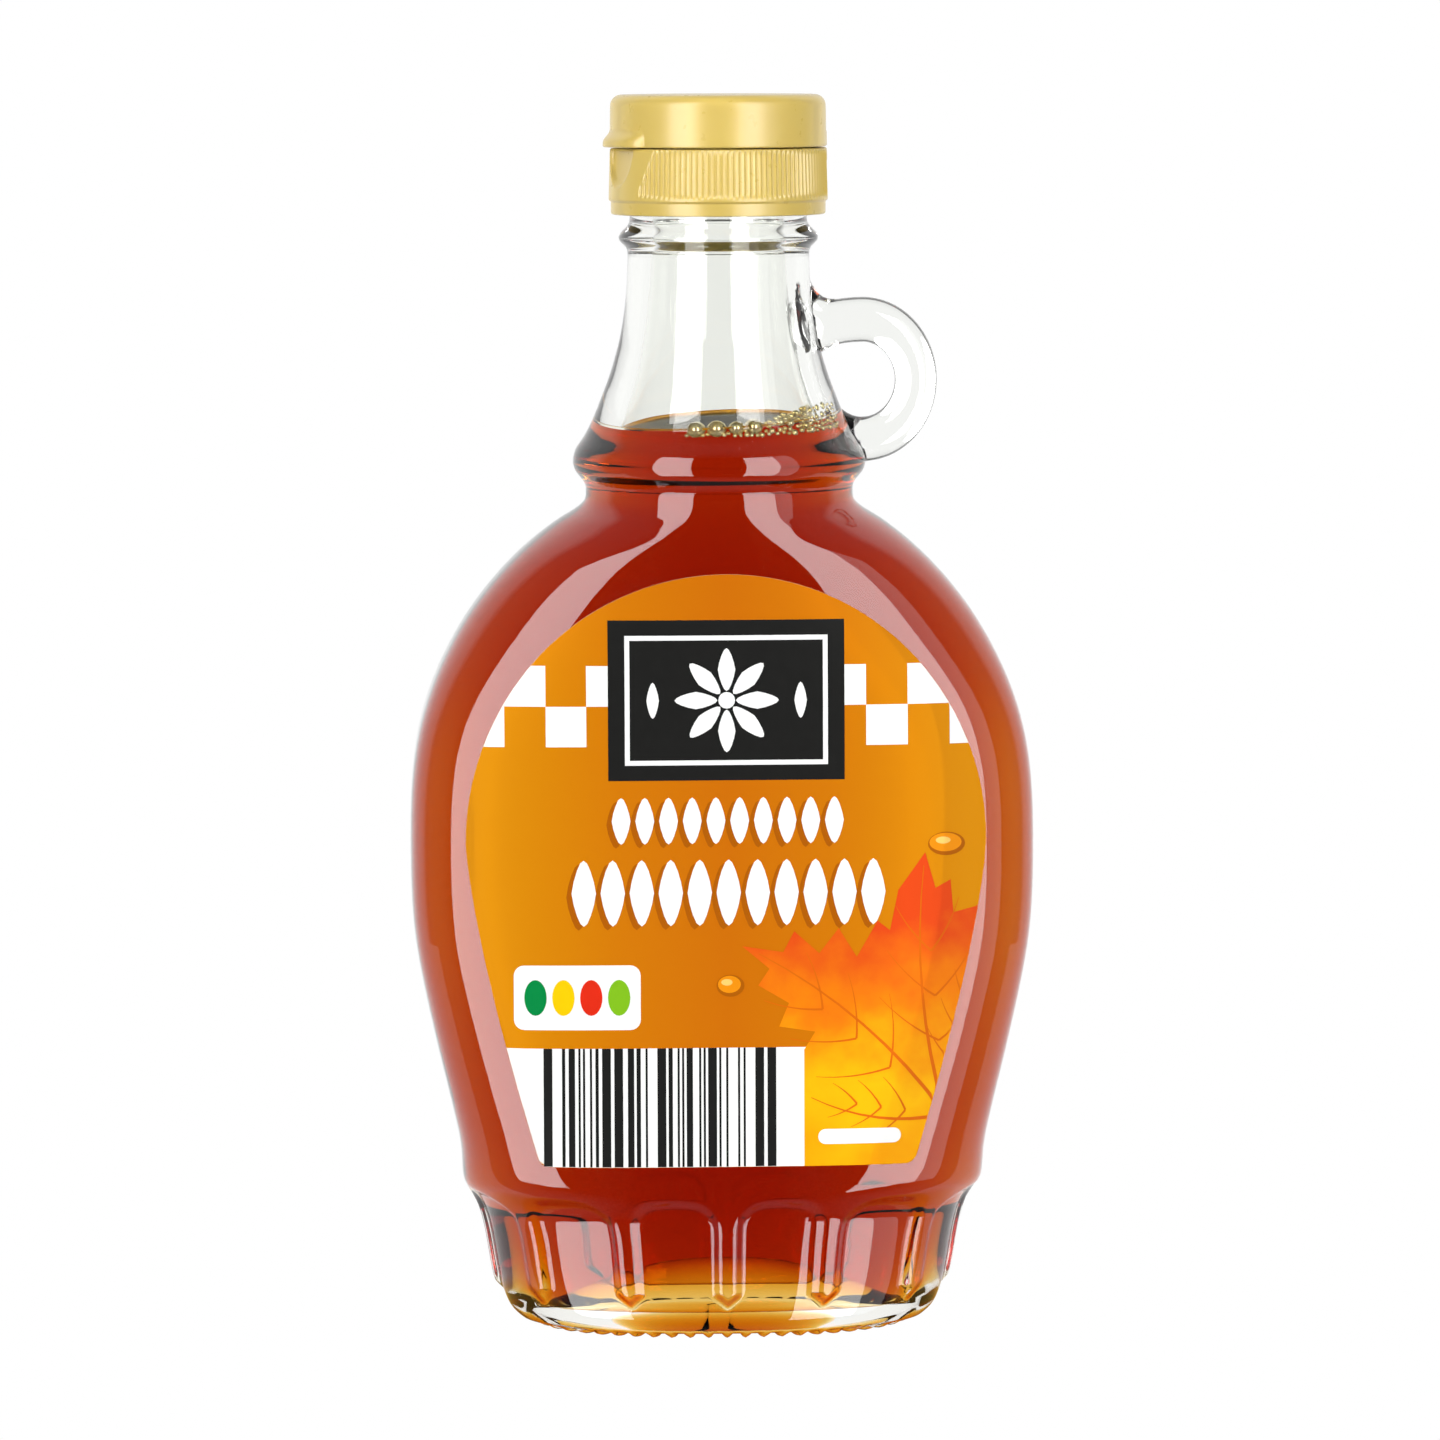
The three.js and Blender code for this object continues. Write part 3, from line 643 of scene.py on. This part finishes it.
# Bubbles at the front and the handle's side of the surface, each reaching a little into the wall
BIG_BUBBLES = ((-3.6, 1.3), (-0.9, 1.35), (1.7, 1.1), (4.0, 1.25))
BUBBLE_COUNT = 170
BUBBLE_SIZES = [0.3, 0.38, 0.45, 0.5, 0.6, 0.7, 0.85]
MOST_TRIES = 20000
FROTH_START, FROTH_SWEEP = -110, 104
FROTH_BELOW, FROTH_LEAST, FROTH_MORE = 0.9, 0.9, 2.6
BIG_INSET, SMALL_INSET, OVERLAP = 0.6, 0.55, 0.95


def bubble(middle, radius, rows=7, sides=12):
    rings = []
    for k in range(1, rows):
        tilt = math.pi * k / rows
        turns = np.arange(sides) * TURN / sides
        flat = radius * math.sin(tilt)
        rings.append(np.stack([middle[0] + flat * np.cos(turns), middle[1] + flat * np.sin(turns),
                               np.full(sides, middle[2] - radius * math.cos(tilt))], 1))
    x, y, z = middle
    return loft(rings, (x, y, z - radius), (x, y, z + radius))


def froth():
    placed = []
    for x, radius in BIG_BUBBLES:
        z = LEVEL + LEVEL_SLOPE * x + 0.1 * radius
        reach = inside(z)[0] - BIG_INSET * radius
        placed.append((x, -math.sqrt(reach ** 2 - x ** 2), z, radius))
    tries = 0
    while len(placed) < BUBBLE_COUNT and tries < MOST_TRIES:
        tries += 1
        share = random.random()
        bearing = math.radians(FROTH_START + FROTH_SWEEP * share)
        radius = random.choice(BUBBLE_SIZES)
        rise = random.random() * (FROTH_LEAST + FROTH_MORE * smooth((share - 0.2) / 0.5))
        z = LEVEL - FROTH_BELOW + rise
        reach = inside(z)[0] - SMALL_INSET * radius
        x, y = reach * math.cos(bearing), reach * math.sin(bearing)
        if all(math.dist((x, y, z), other[:3]) > OVERLAP * (radius + other[3]) for other in placed):
            placed.append((x, y, z, radius))
    vertices, faces = [], []
    for x, y, z, radius in placed:
        points, cells = bubble((x, y, z), radius)
        start = sum(len(v) for v in vertices)
        vertices.append(points)
        faces += [[start + i for i in cell] for cell in cells]
    return mesh_object("syrup_froth", np.concatenate(vertices), faces, [BUBBLE])


bubbles = froth()
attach(bubbles, "bottle")


# Label sheets: a point of the print is given by its distance across and its height
FRONT_BOTTOM, FRONT_WIDEST, FRONT_TOP = 26.0, 72.9, 111.6
FRONT_HALF, FRONT_ARCH, FRONT_CORNER = 37.45, 38.7, 1.2
FRONT_TAPER, TAPER_POWER = 0.0603, 1.34
BACK_BOTTOM, BACK_TOP, BACK_HALF, BACK_CORNER = 34.0, 90.0, 17.5, 3.0
PAPER_LIFTS = (0.04, 0.26)
INK, OVER_INK = 0.29, 0.32


def on_body(x, z, lift, side=-1):
    a, b, n = outside(z)
    return x, side * (b + lift) * (1 - abs(x / (a + lift)) ** n) ** (1 / n), z


def front_half_width(z):
    if z > FRONT_WIDEST:
        return FRONT_HALF * math.sqrt(max(0.0, 1 - ((z - FRONT_WIDEST) / FRONT_ARCH) ** 2))
    past = FRONT_CORNER - min(z - FRONT_BOTTOM, FRONT_CORNER)
    trim = FRONT_CORNER - math.sqrt(max(0.0, FRONT_CORNER ** 2 - past ** 2))
    return FRONT_HALF - FRONT_TAPER * (FRONT_WIDEST - z) ** TAPER_POWER - trim


def back_half_width(z):
    past = BACK_CORNER - min(z - BACK_BOTTOM, BACK_TOP - z, BACK_CORNER)
    return BACK_HALF - BACK_CORNER + math.sqrt(max(0.0, BACK_CORNER ** 2 - past ** 2))


def label_sheet(name, half_width, rows, side, face_material, columns=72):
    """Closed sheet of paper on the glass, printed on its outer face."""
    vertices = []
    for lift in PAPER_LIFTS:
        for z in rows:
            for k in range(columns + 1):
                vertices.append(on_body(half_width(z) * (2 * k / columns - 1), z, lift, side))
    span = columns + 1
    layer = len(rows) * span
    faces, inner = [], []
    for r in range(len(rows) - 1):
        for k in range(columns):
            p = r * span + k
            inner.append([p, p + span, p + span + 1, p + 1])
            faces.append([layer + p, layer + p + 1, layer + p + span + 1, layer + p + span])
        low, high = r * span, (r + 1) * span
        inner.append([low, layer + low, layer + high, high])
        inner.append([layer + low + columns, low + columns, high + columns, layer + high + columns])
    top = (len(rows) - 1) * span
    for k in range(columns):
        inner.append([k, k + 1, layer + k + 1, layer + k])
        inner.append([layer + top + k, layer + top + k + 1, top + k + 1, top + k])
    everything = faces + inner
    if side > 0:
        everything = [f[::-1] for f in everything]
    obj = mesh_object(name, vertices, everything, [face_material, PAPER_BACK], sharp=40)
    for polygon in obj.data.polygons:
        polygon.material_index = 0 if polygon.index < len(faces) else 1
    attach(obj, "bottle")
    return obj


def rows_between(bottom, top, ends, step=2.5):
    """Evenly spaced heights, closer at the ends where the outline curves."""
    low = [bottom + s for s in ends]
    high = [top - s for s in reversed(ends)]
    inner = np.linspace(low[-1], high[0], int((high[0] - low[-1]) / step) + 2)[1:-1]
    return low + list(inner) + high


quarter = math.pi / 2
front_rows = list(FRONT_BOTTOM + FRONT_CORNER * (1 - np.cos(np.linspace(0, quarter, 5))))
front_rows += list(np.linspace(FRONT_BOTTOM + FRONT_CORNER, FRONT_WIDEST, 20)[1:])
front_rows += list(FRONT_WIDEST + FRONT_ARCH * np.sin(np.linspace(0, quarter, 40))[1:-1])
front_rows.append(FRONT_TOP - 0.004)
front = label_sheet("label_front", front_half_width, front_rows, -1, ORANGE)
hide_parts("front_label")
CREAM = print_material("print_cream", colour(244, 236, 214))
back_rows = rows_between(BACK_BOTTOM, BACK_TOP, [0, 0.08, 0.3, 0.7, 1.2, 2.0, 3.0])
back = label_sheet("label_back", back_half_width, back_rows, 1, CREAM)
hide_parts("back_label")


def printed(name, shapes, material, lift=INK, side=-1, limit=None, grid=1.6):
    """Flat shapes, each a list of (across, height) points, laid on the label as one thin piece."""
    vertices, faces = [], []
    for shape in shapes:
        shape = dense(shape)
        if limit:
            shape = clipped(shape, limit)
        outline = [Vector(p) for p in shape]
        xs, zs = [p[0] for p in shape], [p[1] for p in shape]
        extra = [Vector((x, z)) for x in np.arange(min(xs) + 0.3, max(xs), grid)
                 for z in np.arange(min(zs) + 0.3, max(zs), grid)]
        edges = [(i, (i + 1) % len(outline)) for i in range(len(outline))]
        around = [list(range(len(outline)))]
        flat, _, cells, _, _, _ = delaunay_2d_cdt(outline + extra, edges, around, 1, 1e-5)
        start = len(vertices)
        vertices += [on_body(p.x, p.y, lift, side) for p in flat]
        for cell in cells:
            ring = [start + i for i in cell]
            area = sum(flat[cell[i]].x * flat[cell[i - 1]].y - flat[cell[i - 1]].x * flat[cell[i]].y
                       for i in range(len(cell)))
            faces.append(ring[::-1] if (area > 0) == (side < 0) else ring)
    obj = mesh_object(name, vertices, faces, [material])
    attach(obj, "bottle")
    return obj


def dense(shape, step=0.9):
    """The same outline with points close enough to bend with the bottle."""
    points = []
    for (x0, z0), (x1, z1) in zip(shape, shape[1:] + shape[:1]):
        pieces = max(1, int(math.hypot(x1 - x0, z1 - z0) / step))
        points += [(x0 + (x1 - x0) * k / pieces, z0 + (z1 - z0) * k / pieces) for k in range(pieces)]
    return points


def clipped(shape, half_width, margin=0.05):
    """The part of a shape inside the label's outline."""
    kept = []
    for x, z in shape:
        z = min(max(z, FRONT_BOTTOM + 0.05), FRONT_TOP - 0.1)
        limit = half_width(z) - margin
        kept.append((max(-limit, min(limit, x)), z))
    return kept


def rectangle(x0, x1, z0, z1):
    return [(x0, z0), (x1, z0), (x1, z1), (x0, z1)]


def rounded(x0, x1, z0, z1, corner, steps=5):
    points = []
    for cx, cz, start in ((x1 - corner, z0 + corner, -90), (x1 - corner, z1 - corner, 0),
                          (x0 + corner, z1 - corner, 90), (x0 + corner, z0 + corner, 180)):
        for k in range(steps + 1):
            angle = math.radians(start + 90 * k / steps)
            points.append((cx + corner * math.cos(angle), cz + corner * math.sin(angle)))
    return points


def ellipse(x, z, rx, rz, count=24):
    return [(x + rx * math.cos(TURN * k / count), z + rz * math.sin(TURN * k / count)) for k in range(count)]


def lens_shape(x, z, half_width, half_height, count=9):
    """Upright leaf-like shape with a point at each end."""
    side = [(half_width * math.cos(v), half_height * math.sin(v) * (1 + 0.18 * abs(math.sin(v))))
            for v in np.linspace(-math.pi / 2, math.pi / 2, count)]
    right = [(x + w * (1 - 0.25 * abs(h) / half_height), z + h) for w, h in side]
    left = [(2 * x - px, pz) for px, pz in reversed(right[1:-1])]
    return right + left


# Check band
EDGE = 40
ROW_TOP, ROW_MIDDLE, ROW_BOTTOM = 98.6, 92.8, 87.0
upper_row = [(-EDGE, -25.9), (-20.1, -17.0), (16.9, 20.0), (26.0, 32.1)]
lower_row = [(-EDGE, -31.8), (-25.9, -20.1), (20.0, 26.0), (32.1, EDGE)]
checks = [rectangle(x0, x1, ROW_MIDDLE, ROW_TOP) for x0, x1 in upper_row]
checks += [rectangle(x0, x1, ROW_BOTTOM, ROW_MIDDLE) for x0, x1 in lower_row]
printed("print_checks", checks, WHITE, limit=front_half_width)

# Dark panel with a plain ornament
printed("print_panel", [rectangle(-17.0, 16.9, 82.1, 105.1)], BLACK)
frame_line = [rectangle(-14.6, 14.5, 102.2, 102.9), rectangle(-14.6, 14.5, 84.3, 85.0),
              rectangle(-14.6, -13.9, 85.0, 102.2), rectangle(13.8, 14.5, 85.0, 102.2)]
ORNAMENT_Z = 93.6
PETALS, PETAL_REACH = 8, 4.4
petals = []
for k in range(PETALS):
    turn = TURN * k / PETALS
    petals.append([(px * math.cos(turn) - (pz + PETAL_REACH) * math.sin(turn),
                    ORNAMENT_Z + (px * math.sin(turn) + (pz + PETAL_REACH) * math.cos(turn)))
                   for px, pz in lens_shape(0, 0, 1.25, 2.6)])
ornament = petals + [ellipse(0, ORNAMENT_Z, 1.2, 1.2, 16)]
ornament += [lens_shape(x, ORNAMENT_Z, 0.9, 2.2) for x in (-10.6, 10.6)]
printed("print_ornament", frame_line + ornament, WHITE, lift=OVER_INK)

# Two rows of upright lens shapes, each with a shadow
lenses = [(x, 76.3, 1.35, 2.85) for x in np.linspace(-15.2, 15.4, 10)]
lenses += [(x, 65.9, 1.75, 4.05) for x in np.linspace(-20.6, 21.0, 11)]
printed("print_title_shade", [lens_shape(x - 0.75, z - 0.55, w, h) for x, z, w, h in lenses], SHADE)
printed("print_title", [lens_shape(x, z, w, h) for x, z, w, h in lenses], WHITE, lift=OVER_INK)

# Autumn leaf that runs off the label's edge, under the blocks, with its veins
LEAF_OUTLINE = [
    (28.5, 71.4), (30.0, 66.2), (32.2, 67.4), (32.6, 62.6), (36.9, 63.6), (38.0, 58.0), (38.0, 26.0),
    (11.0, 26.0), (11.0, 43.0), (12.6, 45.6), (7.4, 46.4), (8.8, 49.8), (4.4, 52.4), (6.0, 54.8),
    (2.1, 58.1), (8.0, 57.2),
    (9.6, 60.2), (13.2, 57.0), (16.0, 60.6), (18.6, 56.4), (21.6, 61.6), (23.4, 60.2), (24.6, 66.0)]
LEAF_FOOT = (31.5, 33.0)
printed("print_leaf", [LEAF_OUTLINE], LEAF, lift=0.30, limit=front_half_width)


def vein(start, end, width, bend=0.0):
    """Tapering line that bows to one side."""
    (x0, z0), (x1, z1) = start, end
    length = math.hypot(x1 - x0, z1 - z0)
    across = (-(z1 - z0) / length, (x1 - x0) / length)
    left, right = [], []
    for share in np.linspace(0, 1, 9):
        bow = bend * length * 4 * share * (1 - share)
        half = 0.5 * width * (1 - 0.8 * share)
        x, z = x0 + (x1 - x0) * share, z0 + (z1 - z0) * share
        left.append((x + across[0] * (bow + half), z + across[1] * (bow + half)))
        right.append((x + across[0] * (bow - half), z + across[1] * (bow - half)))
    return left + right[::-1]


main_veins = [((28.3, 69.5), 0.05), ((4.5, 57.0), -0.06), ((36.6, 57.0), -0.04), ((12.0, 36.0), 0.08)]
veins = [vein(LEAF_FOOT, tip, 0.6, bend) for tip, bend in main_veins]
for (tip_x, tip_z), bend in main_veins:
    along_x, along_z = tip_x - LEAF_FOOT[0], tip_z - LEAF_FOOT[1]
    for share in (0.3, 0.48, 0.66):
        for way in (-1, 1):
            reach = 0.26 * (1.15 - share) * way
            start = (LEAF_FOOT[0] + along_x * share, LEAF_FOOT[1] + along_z * share)
            end = (start[0] + along_x * 0.2 - along_z * reach, start[1] + along_z * 0.2 + along_x * reach)
            veins.append(vein(start, end, 0.32, 0.05 * way))
printed("print_veins", veins, VEIN, lift=0.312, limit=front_half_width)

# Two drops beside the leaf, each with a rim and a light spot
for number, (x, z, half, high) in enumerate(((31.6, 72.6, 2.7, 1.7), (0.4, 52.4, 2.0, 1.6))):
    printed(f"print_drop_rim_{number}", [ellipse(x, z, half, high)], SHADE, lift=0.31)
    body = ellipse(x - 0.15, z + 0.2, half - 0.35, high - 0.35)
    printed(f"print_drop_{number}", [body], DROP, lift=0.325)
    printed(f"print_drop_spot_{number}", [ellipse(x - 0.5, z + 0.5, half * 0.4, high * 0.3)], SPOT, lift=0.34)

# White panel with round spots, and a striped block
printed("print_small_panel", [rounded(-30.7, -12.5, 46.1, 55.5, 1.5)], WHITE)
spots = [(-27.6, (0, 135, 65)), (-23.6, (255, 205, 0)), (-19.6, (225, 45, 20)), (-15.6, (130, 190, 30))]
for number, (x, shade) in enumerate(spots):
    spot_print = print_material(f"print_spot_{number}", colour(*shade))
    printed(f"print_spot_{number}", [ellipse(x, 50.8, 1.6, 2.6)], spot_print, lift=OVER_INK)
BLOCK_TOP = 43.4
STRIPES_START, STRIPES_END, LAST_STRIPE_EDGE = -26.5, 6.0, 7.0
STRIPE_WIDTHS = [0.3, 0.3, 0.45, 0.6, 0.9, 1.25]
STRIPE_GAPS = [0.35, 0.5, 0.7, 0.9, 1.4]
printed("print_block", [rectangle(-EDGE, 11.6, FRONT_BOTTOM, BLOCK_TOP)], WHITE, limit=front_half_width)
stripes = []
x = STRIPES_START
while x < STRIPES_END:
    width = random.choice(STRIPE_WIDTHS)
    stripes.append(rectangle(x, min(x + width, LAST_STRIPE_EDGE), 26.1, BLOCK_TOP))
    x += width + random.choice(STRIPE_GAPS)
printed("print_stripes", stripes, BLACK, lift=OVER_INK, grid=2.4)
printed("print_short_bar", [rounded(13.0, 25.0, 29.2, 31.4, 1.05)], WHITE, lift=0.35)

# Plain bars and a block on the back label
lines = [rounded(-13.5, right, z, z + 1.3, 0.6) for z, right in
         ((82.0, 8.0), (78.6, 12.5), (75.2, 11.0), (71.8, 13.2), (68.4, 6.5), (61.0, 12.8), (57.6, 10.2),
          (54.2, 13.0), (50.8, 3.0))]
printed("print_back_lines", lines, SHADE, side=1)
printed("print_back_block", [rounded(-13.5, 13.5, 38.0, 46.0, 1.0)], ORANGE, side=1)


# Cap
def cap_ring(radius, z):
    return np.stack([radius * np.cos(cap_angles), radius * np.sin(cap_angles),
                     np.full(len(cap_angles), z)], 1)


RIB_COUNT = 120
cap_angles = np.arange(RIB_COUNT * 8) * TURN / (RIB_COUNT * 8)
from_tab = np.abs(180 - np.degrees(cap_angles))
from_hinge = 180 - from_tab
CAP_TURN = math.radians(20)
SKIRT_FOOT, SKIRT_END, SEAM, CAP_TOP = 164.6, 171.75, 172.0, 179.7
HINGE_HALF, HINGE_PROUD = 16, 0.6
RIB_DEPTH = 0.24
NOTCH_HALF, NOTCH_MIDDLE, NOTCH_HEIGHT, NOTCH_DEPTH = 17.0, 173, 6.6, 1.5
TAB_HALF, TAB_PROUD = 25, 1.3
LID_ROUND = 1.6


def hinge_bulge(fade):
    return HINGE_PROUD * (np.clip(1 - (from_hinge / HINGE_HALF) ** 4, 0, 1) * fade)


def skirt_radius(z):
    """Radius of the cap body's skirt all round at height z."""
    rise = (z - SKIRT_FOOT) / (SEAM - SKIRT_FOOT)
    radius = np.full(len(cap_angles), 15.9 - 0.2 * rise)
    plain_half = 18 + 14 * np.clip(rise, 0, 1)
    ribbed = smooth((from_tab - plain_half) / 1.5) * smooth((from_hinge - HINGE_HALF) / 1.5)
    ends = smooth((z - 164.9) / 0.5) * smooth((171.7 - z) / 0.3)
    rib = 0.5 - 0.5 * np.cos(cap_angles * RIB_COUNT)
    radius -= RIB_DEPTH * ribbed * ends * rib ** 0.7
    notch = 1 - (from_tab / NOTCH_HALF) ** 2 - ((NOTCH_MIDDLE - z) / NOTCH_HEIGHT) ** 2
    radius -= NOTCH_DEPTH * np.sqrt(np.clip(notch, 0, 1)) * smooth(notch * 6)
    return radius + hinge_bulge(smooth((z - 168.9) / 1.5))


def lid_radius(z):
    """Radius of the lid's side all round at height z."""
    radius = np.full(len(cap_angles), 15.7 - 0.01 * (z - SEAM))
    tab = np.clip(1 - (from_tab / TAB_HALF) ** 4, 0, 1)
    radius += TAB_PROUD * tab * smooth((174.9 - z) / 2.0) ** 1.2
    return radius + hinge_bulge(smooth((175.6 - z) / 1.5))


# Radius and height of plain rings of the cap: below the skirt, the deck with its spout, and the lid
SKIRT_LOW = ((13.3, 170.7), (13.3, 162.7), (13.5, 162.42), (15.25, 162.4), (15.5, 162.5), (15.58, 162.8),
             (15.58, 164.1), (15.62, 164.3), (15.84, 164.45))
DECK = ((14.0, SEAM), (13.4, 171.7), (5.4, 171.7), (4.8, 172.0), (4.4, 173.2), (4.15, 174.8),
        (3.95, 175.15), (3.5, 175.2), (3.15, 175.0), (3.1, 174.0), (3.1, 170.7))
SEAL_RING = ((4.6, 178.15), (4.6, 174.2), (4.8, 174.0), (5.2, 174.0), (5.4, 174.2), (5.4, 178.1))
LID_ROOF = ((13.0, CAP_TOP - 0.02), (9.0, CAP_TOP - 0.10), (4.0, CAP_TOP - 0.14))


def cap_rings(rows):
    return [cap_ring(radius, z) for radius, z in rows]


def cap_body():
    edge = skirt_radius(SKIRT_END)
    rings = cap_rings(SKIRT_LOW)
    rings += [cap_ring(skirt_radius(z), z) for z in heights((SKIRT_FOOT, 171.8, 0.3))]
    rings += cap_rings([(edge - 0.05, 171.85), (edge - 0.25, SEAM - 0.02)]) + cap_rings(DECK)
    vertices, faces = loft(rings)
    count = len(cap_angles)
    last = (len(rings) - 1) * count
    for i in range(count):
        j = (i + 1) % count
        faces.append([last + i, last + j, j, i])
    return mesh_object("cap_skirt", vertices, faces, [CAP], sharp=50)


def cap_lid():
    """Lid from the ring that seals round the spout, down its inside and up over its roof."""
    low = SEAM + 0.18
    edge = lid_radius(low)
    rings = cap_rings(SEAL_RING)
    rings += cap_rings([(14.3, 178.0), (14.4, low + 0.3), (14.6, low)])
    rings += cap_rings([(edge - 0.15, low), (edge, low + 0.15)])
    rings += [cap_ring(lid_radius(z), z) for z in heights((172.6, CAP_TOP - 1.7, 0.3))]
    for angle in np.radians([0, 12, 24, 36, 48, 60, 72, 84, 90]):
        rings.append(cap_ring(lid_radius(CAP_TOP) - LID_ROUND * (1 - math.cos(angle)),
                              CAP_TOP - LID_ROUND * (1 - math.sin(angle))))
    rings += cap_rings(LID_ROOF)
    vertices, faces = loft(rings, (0, 0, 178.2), (0, 0, CAP_TOP - 0.15))
    return mesh_object("cap_flip_lid", vertices, faces, [CAP], sharp=50)


for piece, node, body in ((cap_body(), "cap_body", "bottle"), (cap_lid(), "cap_lid", "lid")):
    piece.data.transform(Matrix.Rotation(CAP_TURN, 4, "Z"))
    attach(piece, body)
    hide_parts(node)

# Stage: a small white floor behind and under the bottle, with a painted amber shadow under the bottle
# standing in for the light that comes through the syrup
FLOOR_NEAR, FLOOR_FAR, FLOOR_HALF, FLOOR_Z = -18, 500, 250, -0.02
PAINTED_SHADOW_SIZE = (0.050, 0.034)
PAINTED_SHADOW_STEPS = [(0.0, (0.24, 0.085, 0.004, 1)), (0.6, (0.42, 0.18, 0.015, 1)),
              (0.8, (0.75, 0.48, 0.10, 1)), (1.0, grey(1))]
floor_outline = [(-FLOOR_HALF, FLOOR_NEAR), (FLOOR_HALF, FLOOR_NEAR), (FLOOR_HALF, FLOOR_FAR),
                 (-FLOOR_HALF, FLOOR_FAR)]
floor_shade = Shader("floor")
floor_shade.surface.inputs["Base Color"].default_value = grey(0)
floor_shade.surface.inputs["Emission Strength"].default_value = 1.0
floor_shade.surface.inputs["Specular IOR Level"].default_value = 0
# Painted amber shadow: dark amber under the bottle's foot, fading to white further out; camera rays see the
# floor plain white
painted_shadow_scale = floor_shade.add("ShaderNodeMapping")
painted_shadow_scale.inputs["Scale"].default_value = (1 / PAINTED_SHADOW_SIZE[0], 1 / PAINTED_SHADOW_SIZE[1], 0)
floor_shade.links.new(floor_shade.place(), painted_shadow_scale.inputs["Vector"])
from_middle_of_foot = floor_shade.add("ShaderNodeVectorMath", operation="LENGTH")
floor_shade.links.new(painted_shadow_scale.outputs["Vector"], from_middle_of_foot.inputs[0])
painted_amber_shadow = floor_shade.ramp(from_middle_of_foot.outputs["Value"], PAINTED_SHADOW_STEPS)
direct = floor_shade.add("ShaderNodeLightPath")
floor_tint = floor_shade.add("ShaderNodeMixRGB")
floor_tint.inputs["Color2"].default_value = grey(1)
floor_shade.links.new(direct.outputs["Is Camera Ray"], floor_tint.inputs["Fac"])
floor_shade.links.new(painted_amber_shadow, floor_tint.inputs["Color1"])
floor_shade.links.new(floor_tint.outputs["Color"], floor_shade.surface.inputs["Emission Color"])
floor_points = [(x, y, FLOOR_Z) for x, y in floor_outline]
floor = mesh_object("floor", floor_points, [(0, 1, 2, 3)], [floor_shade.material])


def soft_light(name, bearing, radiance, width, mirrored, height, centre_z, distance=0.95):
    """Tall panel. A mirrored one shows in gloss and glass, another only lights paper and plastic."""
    light = bpy.data.lights.new(name, "AREA")
    light.shape = "RECTANGLE"
    light.size = width
    light.size_y = height
    light.energy = radiance * math.pi * width * height
    obj = bpy.data.objects.new(name, light)
    angle = math.radians(bearing) - yaw
    obj.location = (distance * math.sin(angle), -distance * math.cos(angle), centre_z)
    aim = -Vector(obj.location)
    aim.z = 0
    obj.rotation_euler = aim.to_track_quat("-Z", "Y").to_euler()
    obj.visible_glossy = obj.visible_transmission = mirrored
    obj.visible_diffuse = not mirrored
    bpy.context.scene.collection.objects.link(obj)


GLOSS_HEIGHT, GLOSS_Z, GLOSS_RADIANCE = 1.6, 0.145, 7.6
PAINT_HEIGHT, PAINT_Z, PAINT_RADIANCE = 1.2, 0.345, 8.4
for side, bearing, width in (("left", -37.5, 0.53), ("right", 35, 0.47)):
    soft_light("gloss_" + side, bearing, GLOSS_RADIANCE, width, True, GLOSS_HEIGHT, GLOSS_Z)
    soft_light("paint_" + side, bearing, PAINT_RADIANCE, width, False, PAINT_HEIGHT, PAINT_Z)
soft_light("gloss_edge", 57, 1.6, 0.27, True, GLOSS_HEIGHT, GLOSS_Z)

world = bpy.data.worlds.new("world")
bpy.context.scene.world = world
world.use_nodes = True
nodes, links = world.node_tree.nodes, world.node_tree.links
background = nodes["Background"]
background.inputs["Color"].default_value = (1, 1, 1, 1)
direction = nodes.new("ShaderNodeTexCoord")
parts = nodes.new("ShaderNodeSeparateXYZ")
links.new(direction.outputs["Generated"], parts.inputs["Vector"])
# Strength by direction, from the front (-1) to the back (1): dark in front, white behind
WORLD_STEPS = ((-1.0, 0.03), (-0.75, 0.03), (-0.4, 0.25), (0.25, 0.3), (0.45, 1.0))
spread = nodes.new("ShaderNodeMapRange")
spread.inputs["From Min"].default_value = -1
links.new(parts.outputs["Y"], spread.inputs["Value"])
behind = nodes.new("ShaderNodeValToRGB")
steps = behind.color_ramp.elements
while len(steps) < len(WORLD_STEPS):
    steps.new(0.5)
for element, (forward, strength) in zip(steps, WORLD_STEPS):
    element.position = (forward + 1) / 2
    element.color = grey(strength)
links.new(spread.outputs["Result"], behind.inputs["Fac"])
path = nodes.new("ShaderNodeLightPath")
seen = nodes.new("ShaderNodeMath")
seen.operation = "MAXIMUM"
links.new(behind.outputs["Color"], seen.inputs[0])
links.new(path.outputs["Is Camera Ray"], seen.inputs[1])
links.new(seen.outputs["Value"], background.inputs["Strength"])
